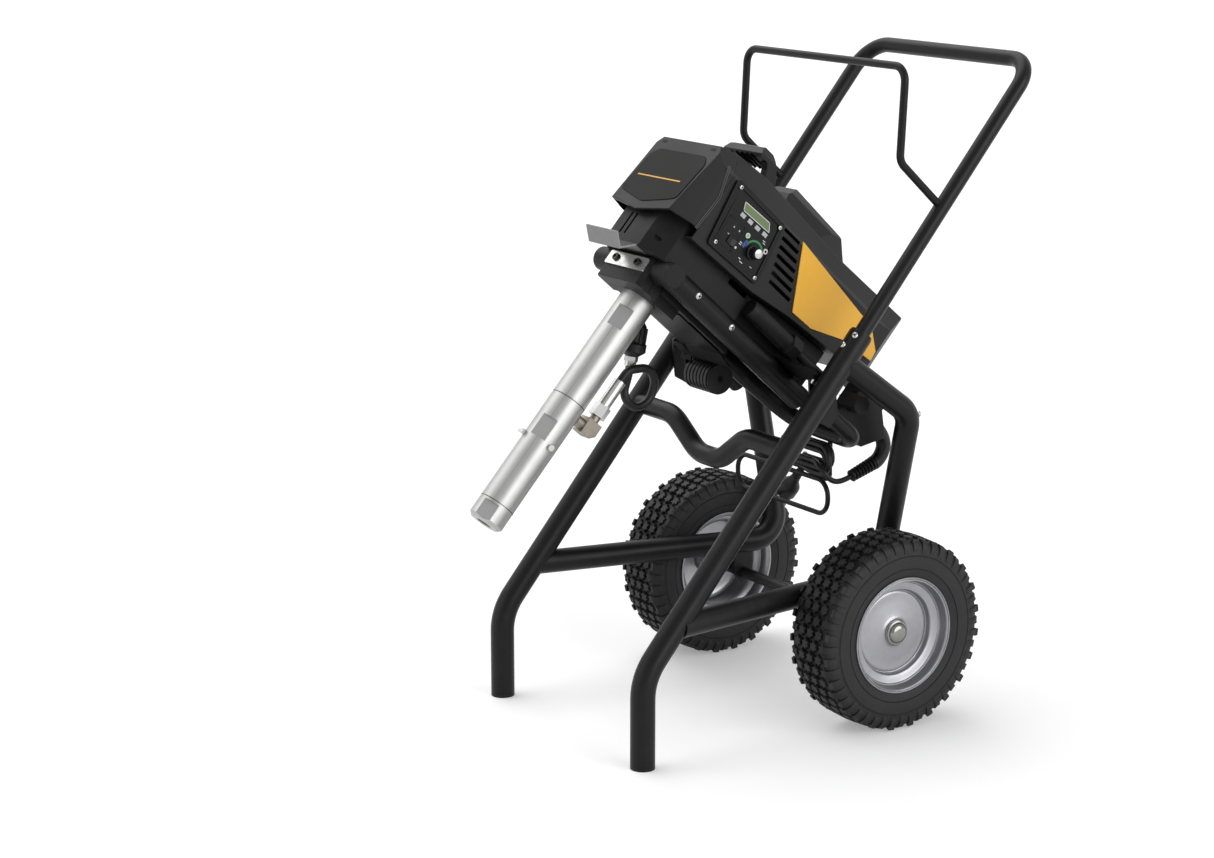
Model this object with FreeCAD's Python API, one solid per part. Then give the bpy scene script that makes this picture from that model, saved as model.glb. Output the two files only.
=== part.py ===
import FreeCAD, Part
import math
import os

# Airless paint sprayer on a two-wheeled tubular cart. Millimetres, +Z up, the near side is +X.
# The cart is drawn from the axle: y = 0 at the axle, the feet to -Y and the handle to +Y.
# The pump unit is drawn upright in its own frame (x, u, v), then tilted onto the cart:
# u runs back along the motor shaft, v runs up along the piston rod.

# Overall
axle_y = 147.5  # the axle lies this far behind the middle of the object
gap = 0.3  # clearance between pieces that only meet
fit = 0.06  # radial running clearance of shafts and rods

# Cart frame
tube_radius = 19.0
tube_wall = 2.0
half_track = 204.5  # middle of the cart to a leg's axis
foot_y = -434.2
foot_bend_z = 140.6
leg_slope = 50.26
leg_top_z = 618.5
leg_bend = 90.0
foot_cap_height = 4.0
foot_plug_depth = 30.0
rear_top = (-69.4, 579.4)  # y, z where a rear tube leaves its leg
hanger_x = half_track - 60.5
rear_bend_high = (half_track + 1.5, 61.8, 484.2)
rear_bend_low = (hanger_x - 8.0, 66.3, 206.0)
rear_foot = (half_track + 2.5, -371.8, 212.0)
rear_bend = 45.0
cross_bar_radius = 16.0
cross_bar_end = (-173.0, 455.0)
cross_bar_dip = 49.0
cross_bar_knee = 100.0
cross_bar_bend = 62.0
hanger_plate = 6.0
hanger_front = 20.0
hanger_back = 17.0

# Handle and hose rack
handle_radius = 12.5
handle_top = 1018.8
handle_bend = 50.0
handle_insert = 120.0
sleeve_flange = 3.0
rack_radius = 6.2
rack_low_z = 803.0
rack_kink = (33.0, 879.0)
rack_top = (40.0, 1022.0)
rack_bend = 24.0

# Wheels
axle_radius = 9.3
axle_z = 154.0
wheel_x = half_track + 31.5
tyre_radius = 154.0
tyre_half_width = 48.5
tyre_wall = 8.0
tread_groove = 4.0
rim_radius = 92.0
rim_half_width = 46.5
rim_sheet = 3.0
bead_radius = 80.0
dish_radius = 65.0
dish_recess = 24.0
hub_radius = 20.0
hub_wall = 4.0
hub_out = 27.0  # end of the hub beyond the wheel's middle
hub_in = 29.0
cap_radius = 16.0
cap_height = 10.0

# Pump unit on the cart
tilt = 41.5
unit_y = -295.9
unit_z = 683.2

# Motor and gear
module = 2.0
pinion_teeth = 12
gear_teeth = 48
crank_v = 96.0
stroke = 30.0
yoke_half = 27.0
yoke_back = 2.0
gear_front = 22.0
web_front = 12.0
crank_pin = 6.0
gear_width = 22.0
chamber_front = -42.0
chamber_back = 60.0
housing_back = 66.0
motor_radius = 46.0
motor_length = 196.0
rotor_radius = 32.0
shaft_radius = 8.0
fan_radius = 44.0
fan_blades = 9

# Drive housing
neck_half = 78.0
neck_front = -85.0
neck_corner = 45.0
neck_low = 31.0
neck_high = 104.0
block_half = 62.0
block_front = -72.0
block_top = 176.0
belly_half = 60.7
belly_front = -12.0
belly_back = 150.0
belly_low = -4.0
belly_wall = 7.0
flank_back = 116.0
flank_high = 76.0
tail_half = 68.0
tail_low = 43.0
tail_back = 300.0
tail_wall = 3.0

# Rails and cradle
rail_x = 80.0
rail_v = 19.5
rail_front = -33.0
rail_back = 300.0
saddle_half = 99.0
cradle_front = 215.0
cradle_back = 262.0
cradle_sheet = 4.0
bow_radius = 14.0
bow_inset = 37.5  # the bow's end stands this far inside the leg's axis
roll_place = (211.0, -22.0)
roll_bore = 5.0

# Covers
cover_half = 97.0
cover_seam = -46.0
cover_wall = 3.0
cover_low = 98.0
cover_vee = 15.0
roof_v = 236.0
shoulder_half = 62.0
tail_u = 430.0
louvres = 7
louvre_length = 39.0  # of the topmost slot
louvre_growth = 2.3
louvre_width = 6.0
bail_half = 50.0
bail_top = 287.0
bail_low = 268.0
bail_leg = 15.0
finger_grooves = 5
finger_pitch = 13.0
finger_radius = 8.0
panel_sheet = 2.5
control_sheet = 4.0

# Fluid section
fluid_radius = 28.5
fluid_bore = 17.0
collar_radius = 24.0
collar_top = 22.0
fluid_top = -18.0
seam_high = -210.0
seam_low = -402.5
fluid_end = -437.0
rod_radius = 11.0
flat_depth = 3.0
piston_low = -262.0
seat_height = 5.0
piston_seat = 5.0
piston_ball = 7.0
inlet_seat = 9.0
inlet_ball_radius = 11.0
elbow_v = -224.0
elbow_u = 57.7
hose_radius = 6.8
hook_half = 42.5
hook_sheet = 3.0
plate_half = 52.0

# Mains cord
cord_radius = 4.5
cord_gap = 0.45  # air between neighbouring strands of the hank
hank_y = -22.0
hank_right = 90.0
hank_left = 8.0
hanger_rod = 4.0
hanger_low = 311.0
hanger_high = 366.0
hanger_left = -131.0
hanger_right = 112.0
stem_x = 92.0
relief_x = 118.0  # plane of the inlet sleeve and the strain relief
relief_length = 48.0
relief_ribs = 8
sleeve_radius = 12.0

V = FreeCAD.Vector
along_x, along_y, along_z = V(1, 0, 0), V(0, 1, 0), V(0, 0, 1)
slope = math.radians(leg_slope)
leg_way = V(0, math.cos(slope), math.sin(slope))
motor_v = crank_v + module * (pinion_teeth + gear_teeth) / 2
sides = (("left", -1), ("right", 1))
hank_pitch = 2 * cord_radius + cord_gap


# Shape helpers

def corner_cuts(points, radii, closed):
    """Tangent arc at each corner: where it starts, its middle and where it ends."""
    count = len(points)
    corners = {}
    for i in range(count):
        if not closed and i in (0, count - 1):
            continue
        here = points[i]
        back = points[i - 1] - here
        ahead = points[(i + 1) % count] - here
        shorter = min(back.Length, ahead.Length)
        back.normalize()
        ahead.normalize()
        half = back.getAngle(ahead) / 2
        if radii is None:
            cut = 0.45 * shorter
        else:
            radius = radii if isinstance(radii, (int, float)) else radii[i]
            cut = min(radius / math.tan(half), 0.46 * shorter)
        inward = (back + ahead).normalize()
        radius = cut * math.tan(half)
        middle = here + inward * (radius / math.sin(half) - radius)
        corners[i] = (here + back * cut, middle, here + ahead * cut, radius)
    return corners


def route(points, radii=None, closed=False):
    """Straight runs joined by tangent arcs; without radii each arc is as large as its runs allow."""
    corners = corner_cuts(points, radii, closed)
    edges = []
    count = len(points)
    for i in range(count if closed else count - 1):
        start = corners[i][2] if i in corners else points[i]
        j = (i + 1) % count
        end = corners[j][0] if j in corners else points[j]
        if (end - start).Length > 1e-4:
            edges.append(Part.LineSegment(start, end).toShape())
        if j in corners:
            edges.append(Part.Arc(corners[j][0], corners[j][1], corners[j][2]).toShape())
    return Part.Wire(edges)


def disc_wire(centre, axis, radius):
    return Part.Wire(Part.Circle(centre, axis, radius).toShape())


def swept(path, radius):
    """Round bar along a wire."""
    start = path.OrderedEdges[0]
    way = start.tangentAt(start.FirstParameter)
    section = disc_wire(start.valueAt(start.FirstParameter), way, radius)
    return path.makePipeShell([section], True, False)


def bar(points, radius, radii=None):
    return swept(route([V(*p) for p in points], radii), radius)


def rod(start, end, radius):
    start, end = V(*start), V(*end)
    return Part.makeCylinder(radius, (end - start).Length, start, end - start)


def box(x0, x1, y0, y1, z0, z1):
    return Part.makeBox(x1 - x0, y1 - y0, z1 - z0, V(x0, y0, z0))


def prism(points, axis, low, high, radii=0.0):
    """Outline in the plane across an axis, pushed from low to high along it."""
    place = {
        "x": lambda a, b: V(low, a, b),
        "y": lambda a, b: V(a, low, b),
        "z": lambda a, b: V(a, b, low),
    }[axis]
    corners = [place(*p) for p in points]
    if radii:
        wire = route(corners, radii, True)
    else:
        wire = Part.makePolygon(corners + corners[:1])
    way = {"x": along_x, "y": along_y, "z": along_z}[axis]
    return Part.Face(wire).extrude(way * (high - low))


def mirrored(points):
    """Outline that is the same on both sides of x = 0, from its right half."""
    return points + [(-a, b) for a, b in reversed(points) if a]


def inset(points, wall):
    """Outline moved inward by a wall; the corners stay sharp."""
    area = sum(a[0] * b[1] - b[0] * a[1] for a, b in zip(points, points[1:] + points[:1]))
    turn = 1 if area > 0 else -1
    moved = []
    for i, here in enumerate(points):
        before, after = points[i - 1], points[(i + 1) % len(points)]
        lines = []
        for a, b in ((before, here), (here, after)):
            length = math.hypot(b[0] - a[0], b[1] - a[1])
            normal = (-(b[1] - a[1]) / length * turn, (b[0] - a[0]) / length * turn)
            lines.append((normal, normal[0] * a[0] + normal[1] * a[1] + wall))
        (n1, d1), (n2, d2) = lines
        det = n1[0] * n2[1] - n2[0] * n1[1]
        moved.append(((d1 * n2[1] - d2 * n1[1]) / det, (n1[0] * d2 - n2[0] * d1) / det))
    return moved


def turned(profile, centre, axis=along_x):
    """Profile of (distance along the axis, radius) pairs, turned about the axis through a point."""
    side = along_z if axis is not along_z else along_x
    corners = [V(*centre) + axis * a + side * r for a, r in profile]
    wire = Part.makePolygon(corners + corners[:1])
    return Part.Face(wire).revolve(V(*centre), axis, 360)


def fused(shapes):
    first, rest = shapes[0], shapes[1:]
    return first.multiFuse(rest).removeSplitter() if rest else first


def button_head(at, way, radius, height, shank_radius, shank):
    """Round-headed screw: the head stands out along the way, the shank goes back."""
    profile = [(-shank, 0), (-shank, shank_radius), (0, shank_radius), (0, radius)]
    profile += [(height * 0.5, radius * 0.9), (height, radius * 0.5), (height, 0)]
    screw = turned(profile, (0, 0, 0))
    screw.Placement = FreeCAD.Placement(V(*at), FreeCAD.Rotation(along_x, V(*way)))
    return screw


def in_unit(shape):
    """Pump unit frame to cart frame."""
    copy = shape.copy()
    turn = FreeCAD.Rotation(along_x, -tilt)
    copy.Placement = FreeCAD.Placement(V(0, unit_y, unit_z), turn).multiply(copy.Placement)
    return copy


def unit_point(x, u, v):
    return FreeCAD.Placement(V(0, unit_y, unit_z), FreeCAD.Rotation(along_x, -tilt)).multVec(V(x, u, v))


def save(name, shape):
    shape = shape.copy()
    shape.translate(V(0, axle_y, 0))
    shape.exportStep(f"parts/{name}.step")


# Cart frame

def leg_point(z):
    """Point of the sloping stretch of a leg's axis at a height, as (y, z)."""
    return foot_y + (z - foot_bend_z) / math.tan(slope), z


def leg_envelope(side, radius, z0=0.0):
    top_y, top_z = leg_point(leg_top_z)
    x = side * half_track
    return bar([(x, foot_y, z0), (x, foot_y, foot_bend_z), (x, top_y, top_z)], radius, leg_bend)


def leg(side):
    """Leg tube, open at the top for the handle and at the foot for its cap."""
    shape = leg_envelope(side, tube_radius, foot_cap_height)
    x = side * half_track
    top = V(x, *leg_point(leg_top_z))
    bore = Part.makeCylinder(tube_radius - tube_wall, handle_insert + 40, top, leg_way * -1)
    low = Part.makeCylinder(tube_radius - tube_wall, foot_plug_depth + 10, V(x, foot_y, 0), along_z)
    return shape.cut(fused([bore, low]))


def foot_cap(side):
    x = side * half_track
    flange = Part.makeCylinder(tube_radius, foot_cap_height, V(x, foot_y, 0))
    plug = Part.makeCylinder(tube_radius - tube_wall, foot_plug_depth, V(x, foot_y, 0))
    return fused([flange, plug])


def rear_path(side):
    points = [
        (half_track, *rear_top),
        rear_bend_high,
        rear_bend_low,
        rear_foot,
    ]
    return [(side * x, y, z) for x, y, z in points]


def rear_tube(side):
    """C-shaped tube from the leg's top round to its foot, with the plate that carries the axle."""
    tube = bar(rear_path(side), tube_radius, rear_bend)
    x0 = hanger_x - hanger_plate / 2
    outline = [
        (hanger_back, rear_bend_low[2]),
        (hanger_back, axle_z - 4),
        (6, axle_z - 15),
        (-6, axle_z - 15),
        (-hanger_front, axle_z),
        (-hanger_front, rear_bend_low[2]),
    ]
    x0, x1 = sorted((side * x0, side * (x0 + hanger_plate)))
    plate = prism(outline, "x", x0, x1)
    shape = fused([tube, plate])
    shape = shape.cut(rod((x0 - 1, 0, axle_z), (x1 + 1, 0, axle_z), axle_radius))
    low = V(side * half_track, *leg_point(foot_bend_z))
    leg_line = Part.makeCylinder(tube_radius + fit, leg_top_z, low, leg_way)
    return shape.cut(leg_line)


def cross_bar():
    """Bar between the legs with a dip in its middle."""
    y, z = cross_bar_end
    half = [
        (half_track, y, z),
        (cross_bar_knee, y, z),
        (0.3 * cross_bar_knee, y, z - cross_bar_dip),
    ]
    points = half + [(-a, b, c) for a, b, c in reversed(half)]
    shape = bar(points, cross_bar_radius, cross_bar_bend)
    for _, side in sides:
        shape = shape.cut(leg_envelope(side, tube_radius))
    return shape


def handle_points():
    z = leg_top_z - handle_insert * math.sin(slope)
    y = leg_point(z)[0]
    return [
        (half_track, y, z),
        (half_track, *leg_point(handle_top)),
        (-half_track, *leg_point(handle_top)),
        (-half_track, y, z),
    ]


def handle():
    return bar(handle_points(), handle_radius, handle_bend)


def handle_sleeve(side):
    """Plastic sleeve between the handle and the leg, with a collar on the leg's end."""
    top = V(side * half_track, *leg_point(leg_top_z))
    body = Part.makeCylinder(tube_radius - tube_wall, handle_insert - 10, top, leg_way * -1)
    collar = Part.makeCylinder(tube_radius - 1, sleeve_flange, top, leg_way)
    bore = Part.makeCylinder(handle_radius, 2 * handle_insert, top - leg_way * handle_insert, leg_way)
    return fused([body, collar]).cut(bore)


def hose_rack():
    """Hoop of rod in front of the handle, welded to it at both ends."""
    low_y = leg_point(rack_low_z)[0]
    x = half_track - 1.5
    half = [(x, low_y, rack_low_z), (x, *rack_kink), (x, *rack_top)]
    points = half + [(-a, b, c) for a, b, c in reversed(half)]
    return bar(points, rack_radius, rack_bend).cut(handle())


def lower_bow_path():
    """Bent tube under the unit, as (x, u, v) points from the belly round to the right cradle plate."""
    return [
        (-45, belly_back, 21),
        (-45, 284, 21),
        (6, 366, 11),
        (78, 373, 9),
        (half_track - bow_inset, 381, 9),
        (half_track - bow_inset, cradle_back + 2, 9),
    ]


def bow_shape():
    return bar(lower_bow_path(), bow_radius, [0, 60, 80, 120, 34, 0])


def lower_bow():
    return in_unit(bow_shape())


def cord_hanger():
    """Loop of rod that holds the cord, hung from the lower bow by a short stem."""
    middle = (hanger_low + hanger_high) / 2
    reach = (hanger_high - hanger_low) / 2
    loop = [
        (hanger_left, hank_y, hanger_high),
        (hanger_left, hank_y, hanger_low),
        (hanger_right, hank_y, hanger_low),
        (hanger_right, hank_y, hanger_high),
    ]
    ring = swept(route([V(*p) for p in loop], reach - 1, True), hanger_rod)
    back_y = hank_y + hank_pitch + cord_radius + gap + hanger_rod
    stem = bar([(stem_x, hank_y, hanger_high), (stem_x, back_y, hanger_high),
                (stem_x, back_y, middle + 110)], hanger_rod, 6)
    return fused([ring, stem]).cut(lower_bow())


def rail(side):
    """Rail under the unit, coped against the saddle at its front."""
    tube = rod((side * rail_x, rail_front, rail_v), (side * rail_x, rail_back, rail_v), tube_radius)
    return tube.cut(saddle())


def saddle():
    return rod((-saddle_half, rail_front, rail_v), (saddle_half, rail_front, rail_v), tube_radius)


def cradle_bracket():
    """Folded cross member over the rails with a six-sided plate at each leg."""
    inner = half_track - tube_radius
    low = rail_v + tube_radius
    shape = [box(-inner, inner, cradle_front, cradle_back, low, low + cradle_sheet)]
    outline = [
        (217, 27),
        (217, 22),
        (230, 9),
        (262, -20),
        (302, -12),
        (302, 12),
        (cradle_back, 46),
        (232, 46),
    ]
    for _, side in sides:
        x0, x1 = sorted((side * inner, side * (inner - cradle_sheet)))
        shape.append(prism(outline, "x", x0, x1))
    return fused(shape)


# Wheels

def tyre(side):
    """Pneumatic tyre: open section on the rim, grooved tread."""
    half, wall = tyre_half_width, tyre_wall
    outer = [
        (rim_half_width - rim_sheet - 3, bead_radius),
        (rim_half_width - rim_sheet, rim_radius),
        (half - 2, rim_radius + 14),
        (half, rim_radius + 30),
        (half - 4, tyre_radius - 16),
        (half - 8, tyre_radius - 5),
        (33, tyre_radius - 3.5),
    ]
    crown = []
    for middle in (22.0, 0.0):
        depth = tyre_radius - tread_groove
        crown += [(middle + 3, tyre_radius - 1), (middle + 2, depth)]
        crown += [(middle - 2, depth), (middle - 3, tyre_radius)]
    right = outer + crown[:6]
    inner = [
        (0, tyre_radius - tread_groove - wall),
        (half - wall - 9, tyre_radius - tread_groove - wall - 2),
        (half - wall, rim_radius + 30),
        (half - wall - 3, rim_radius + 8),
        (rim_half_width - 17, bead_radius),
    ]
    section = right + [(-a, r) for a, r in reversed(right)]
    section += [(-a, r) for a, r in reversed(inner)] + inner[1:]
    return turned(section, (side * wheel_x, 0, axle_z))


def rim(side):
    """Pressed steel rim: flanges, bead seats, well, dished disc and hub tube."""
    half, sheet = rim_half_width, rim_sheet
    bore = hub_radius - hub_wall
    dish = half - dish_recess
    outline = [
        (half, rim_radius),
        (half, rim_radius - sheet),
        (half - 4, bead_radius - sheet),
        (dish + 6, dish_radius + 9),
        (dish, dish_radius),
        (dish, hub_radius),
        (hub_out, hub_radius),
        (hub_out, bore),
        (-hub_in, bore),
        (-hub_in, hub_radius),
        (dish - sheet, hub_radius),
        (dish - sheet, dish_radius + 1),
        (dish + 1, bead_radius - 8 - sheet),
        (-dish, bead_radius - 8 - sheet),
        (-half + 14, bead_radius - sheet),
        (-half + 4, bead_radius - sheet),
        (-half, rim_radius - sheet),
        (-half, rim_radius),
        (-half + sheet, rim_radius),
        (-half + sheet + 3, bead_radius),
        (-half + 17, bead_radius),
        (-dish + 3, bead_radius - 8),
        (dish, bead_radius - 8),
        (half - 17, bead_radius),
        (half - sheet - 3, bead_radius),
        (half - sheet, rim_radius),
    ]
    return turned([(side * a, r) for a, r in outline], (side * wheel_x, 0, axle_z))


def bush(side):
    """Flanged bush in the hub."""
    outer = hub_radius - hub_wall
    profile = [
        (-hub_in - 2, axle_radius + fit),
        (hub_out - 1, axle_radius + fit),
        (hub_out - 1, outer),
        (-hub_in, outer),
        (-hub_in, hub_radius - 1),
        (-hub_in - 2, hub_radius - 1),
    ]
    return turned([(side * a, r) for a, r in profile], (side * wheel_x, 0, axle_z))


def axle():
    end = wheel_x + hub_out + gap + 2
    return rod((-end, 0, axle_z), (end, 0, axle_z), axle_radius)


def axle_cap(side):
    """Domed push-on cap on the axle's end."""
    face = hub_out + gap
    profile = [
        (face, axle_radius),
        (face, cap_radius),
        (face + 3, cap_radius),
        (face + 7, cap_radius * 0.8),
        (face + 9.4, cap_radius * 0.45),
        (face + cap_height, 0),
        (face + 2, 0),
        (face + 2, axle_radius),
    ]
    return turned([(side * a, r) for a, r in profile], (side * wheel_x, 0, axle_z))


# Pump unit: covers, all in (x, u, v)

def shroud_side():
    """Side view of the motor shroud, as (u, v)."""
    return [
        (cover_seam, 80),
        (100, 86),
        (183, 99),
        (300, 108),
        (391, 126),
        (418, 141),
        (tail_u, 172),
        (421, 214),
        (398, roof_v + 4),
        (229, roof_v - 2),
        (25, roof_v + 8),
        (cover_seam, roof_v),
    ]


def section_outline(low):
    """Front view of the covers, as (x, v): upright walls, sloping shoulders, flat roof."""
    half = cover_half
    return mirrored([(half, low), (half, 196), (half - 7, 204), (shoulder_half, roof_v + 12)])


def shroud_plan():
    return mirrored([(cover_half, cover_seam), (cover_half, 335), (91, 368), (60, 397), (30, 420), (14, tail_u)])


def shroud_block(wall, front):
    """Common of the side, front and plan views, moved inward by a wall."""
    side = prism(inset(shroud_side(), wall), "x", -120, 120)
    section = prism(inset(section_outline(70), wall), "y", front, 480)
    plan = [(a, b - wall if b == cover_seam else b) for a, b in shroud_plan()]
    return side.common(section).common(prism(inset(plan, wall), "z", 0, 300))


def louvre(i):
    """Slanted row of slots through both side walls."""
    u = 84 + 5.1 * i
    v = 196 - 12.9 * i
    half = louvre_width / 2
    length = louvre_length + louvre_growth * i
    return box(-cover_half - 5, cover_half + 5, u, u + length, v - half, v + half)


def side_outline():
    """Coloured side panel, as (u, v)."""
    return [(125, 202), (183, 108), (230, 110), (295, 134), (362, 141), (360, 158), (334, 177), (298, 185)]


def control_outline():
    return [(-40, 200), (79, 199), (96, 97), (-21, 92)]


def motor_shroud():
    outer = shroud_block(0, -60)
    inner = shroud_block(cover_wall, -60)
    mouth = inner.copy()
    mouth.translate(V(0, -8, 0))
    shape = outer.cut(fused([inner, mouth]))
    shape = shape.cut(box(-neck_half - gap, neck_half + gap, -60, flank_back + gap, 60, 100))
    shape = shape.cut(fused([louvre(i) for i in range(louvres)]))
    shape = shape.cut(control_pocket())
    for _, side in sides:
        shape = shape.cut(side_panel(side, gap))
    return shape


def side_panel(side, grow=0.0):
    """Thin coloured panel let into the side wall."""
    outline = inset(side_outline(), -grow)
    deep = cover_half - 1 - grow
    x0, x1 = sorted((side * deep, side * (deep + panel_sheet + grow)))
    return prism(outline, "x", x0, x1)


def control_pocket():
    return prism(inset(control_outline(), 8), "x", cover_half - 20, cover_half + 5)


def front_block(wall):
    side = [(cover_seam - gap, 70), (-100.7, 70), (-82, 224), (cover_seam - gap, roof_v)]
    low = cover_low
    half = cover_half
    section = mirrored([(0, low - cover_vee)] + section_outline(low)[:4])
    plan = mirrored([(half, cover_seam - gap), (half, -60), (76, -101)])
    shape = prism(inset(side, wall), "x", -120, 120)
    shape = shape.common(prism(inset(section, wall), "y", -120, 0))
    return shape.common(prism(inset(plan, wall), "z", 0, 300))


def front_cover():
    inner = front_block(cover_wall)
    rooms = [inner]
    for shift in ((0, 10, 0), (0, 0, -12), (0, 10, -12)):
        room = inner.copy()
        room.translate(V(*shift))
        rooms.append(room)
    return front_block(0).cut(fused(rooms))


def top_cover():
    """Raised cover on the roof that narrows towards the back."""
    side = [(88, roof_v), (92, 262), (112, 282), (226, 276), (268, 252), (290, roof_v)]
    section = mirrored([(48, roof_v - 20), (47, 246), (40, 266), (14, 290)])
    plan = mirrored([(48, 80), (48, 180), (10, 295)])
    shape = prism(side, "x", -60, 60).common(prism(section, "y", 70, 300))
    shape = shape.common(prism(plan, "z", 200, 300))
    return shape.cut(shroud_block(0, -60))


def carry_handle():
    """Moulded bail across the roof: a grip with finger grooves on two flat legs that lean back."""
    side = [(1, bail_low + 4), (3, bail_top - 4), (8, bail_top), (27, bail_top), (33, bail_top - 5)]
    side += [(70, roof_v - 4), (40, roof_v - 4), (27, bail_low - 9), (20, bail_low), (4, bail_low)]
    shape = prism(side, "x", -bail_half, bail_half)
    outer = mirrored([(bail_half, roof_v - 5), (bail_half, bail_top - 13), (bail_half - 10, bail_top + 1)])
    shape = shape.common(prism(outer, "y", -10, 90))
    inner = bail_half - bail_leg
    window = mirrored([(inner, roof_v - 6), (inner, bail_low - 7), (inner - 8, bail_low)])
    shape = shape.cut(prism(window, "y", -10, 90))
    v = bail_low + 2 - finger_radius
    for i in range(finger_grooves):
        x = finger_pitch * (i - (finger_grooves - 1) / 2)
        shape = shape.cut(rod((x, -10, v), (x, 60, v), finger_radius))
    return shape.cut(shroud_block(0, -60))


def control_panel():
    """Panel with a raised frame round its recessed face."""
    outline = control_outline()
    plate = prism(outline, "x", cover_half + gap, cover_half + control_sheet, 6)
    face = prism(inset(outline, 7), "x", cover_half + control_sheet - 2, cover_half + 10, 5)
    body = prism(inset(outline, 9), "x", cover_half - 12, cover_half + gap, 4)
    shape = fused([plate, body]).cut(face)
    shape = shape.cut(display(gap / 3))
    behind = cover_half - 14
    keeper_seat = panel_face - keeper_depth
    for place in button_places:
        shape = shape.cut(panel_box(place, button_half, gap, behind, cover_half + 9))
        shape = shape.cut(panel_box(place, keeper_half, gap, behind, keeper_seat))
    shape = shape.cut(rod((behind, *knob_place), (cover_half + 9, *knob_place), spindle_radius + fit))
    shape = shape.cut(panel_box(switch_place, (switch_half + 0.4, 5.5), gap, behind, cover_half + 9))
    return shape.cut(switch_pin(fit))


panel_face = cover_half + control_sheet - 2
screw_places = ((-27, 192), (73, 190), (86, 104), (-10, 102))
button_places = ((5, 162.5), (22.3, 163.3), (39.6, 164.1), (57, 164.9))
button_half = (5.0, 3.2)
keeper_half = (7.0, 5.2)
keeper_depth = 4.5  # from the panel's face to the keeper's seat
button_rise = 1.5
knob_place = (58, 131)
spindle_radius = 4.0
switch_place = (14, 120)
switch_half = 7.6
switch_tilt = 6.0
switch_pin_depth = 2.5


def panel_box(place, half, grow, x0, x1):
    u, v = place
    a, b = half[0] + grow, half[1] + grow
    return box(x0, x1, u - a, u + a, v - b, v + b)


def display(grow=0.0):
    outline = [(-5, 181), (53, 184), (62, 172), (1, 169)]
    return prism(inset(outline, -grow), "x", panel_face - 1.5, panel_face + 0.6)


def panel_button(place):
    """Push button with a keeper flange behind the panel's face."""
    seat = panel_face - keeper_depth - gap
    cap = panel_box(place, button_half, 0, seat - 2.5, panel_face + button_rise)
    return fused([cap, panel_box(place, keeper_half, 0, seat - 2.5, seat)])


def pressure_knob():
    """Knurled pressure knob on its spindle."""
    u, v = knob_place
    knob = turned([(0.4, 0), (0.4, 12), (3, 12), (4, 10), (15, 9), (16.5, 7.5), (16.5, 0)], (panel_face, u, v))
    grips = [rod((panel_face + 4, u + 12 * math.cos(a), v + 12 * math.sin(a)),
                 (panel_face + 20, u + 12 * math.cos(a), v + 12 * math.sin(a)), 3.2)
             for a in (math.tau * (i + 0.5) / 8 for i in range(8))]
    spindle = rod((panel_face - 12, u, v), (panel_face + 2, u, v), spindle_radius)
    return fused([knob.cut(fused(grips)), spindle])


def power_switch():
    """Rocker with two sloping faces on a cross pin."""
    u, v = switch_place
    half = 5.5
    outline = [(-switch_half, 0.6), (-switch_half, 2.6), (0, 1.2), (switch_half, 2.6), (switch_half, 0.6)]
    outline += [(3, -5), (-3, -5)]
    wire = Part.makePolygon([V(panel_face + b, u + a, v - half) for a, b in outline + outline[:1]])
    rocker = fused([Part.Face(wire).extrude(V(0, 0, 2 * half)), switch_pin(0)])
    rocker.rotate(V(panel_face - switch_pin_depth, u, v), along_z, -switch_tilt)
    return rocker


def switch_pin(grow):
    u, v = switch_place
    x = panel_face - switch_pin_depth
    return rod((x, u, v - 7.5 - grow), (x, u, v + 7.5 + grow), 1.2 + grow)


# Pump unit: drive housing and motor

def drive_housing():
    """Casting that carries the gears, the fluid section and the rails."""
    plan = mirrored([(neck_half, housing_back), (neck_half, -52), (neck_corner, neck_front)])
    neck = prism(plan, "z", neck_low, neck_high)
    block = box(-block_half, block_half, block_front, housing_back, neck_high - 1, block_top)
    belly = box(-belly_half, belly_half, belly_front, belly_back, belly_low, flank_high)
    flank = box(-neck_half, neck_half, housing_back - 1, flank_back, rail_v + tube_radius, flank_high)
    front = box(-58, 58, -30, belly_front + 1, fluid_top, neck_low + 1)
    seat = box(-44, 44, belly_front - 1, 44, fluid_top, belly_low + 1)
    shape = fused([neck, block, belly, flank, housing_tail(), front, seat, saddle()])
    chamber = rod((0, chamber_front, crank_v), (0, chamber_back, crank_v), module * (gear_teeth / 2 + 3))
    pinion_room = rod((0, gear_front - 8, motor_v), (0, chamber_back, motor_v), 17)
    yoke_room = box(-yoke_half - 2, yoke_half + 2, chamber_front, 3, crank_v - 60, crank_v + 42)
    shape = shape.cut(fused([chamber, pinion_room, yoke_room]))
    shape = shape.cut(rod((0, 0, fluid_top - 1), (0, 0, collar_top + gap), collar_radius))
    shape = shape.cut(rod((0, 0, 0), (0, 0, crank_v - 50), rod_radius + 1))
    shape = shape.cut(rod((0, chamber_back - 1, motor_v), (0, housing_back + 1, motor_v), shaft_radius + 2))
    shape = shape.cut(rod((0, chamber_back - 1, crank_v), (0, housing_back - 2, crank_v), 10 + fit))
    shape = shape.cut(clamp_room())
    room, ceiling = belly_half - belly_wall, flank_high - belly_wall
    shape = shape.cut(box(-room, room, housing_back, belly_back - belly_wall, belly_low - 1, ceiling))
    for x in (-20, -7):
        shape = shape.cut(box(x - 2.2, x + 2.2, neck_front - 1, neck_front + 6, 45, 84))
    for side in (-1, 1):
        shape = shape.cut(rod((side * 63, -60, 56), (side * 54, -76, 56), 3.5))
        shape = shape.cut(rail(side))
    return shape


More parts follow.
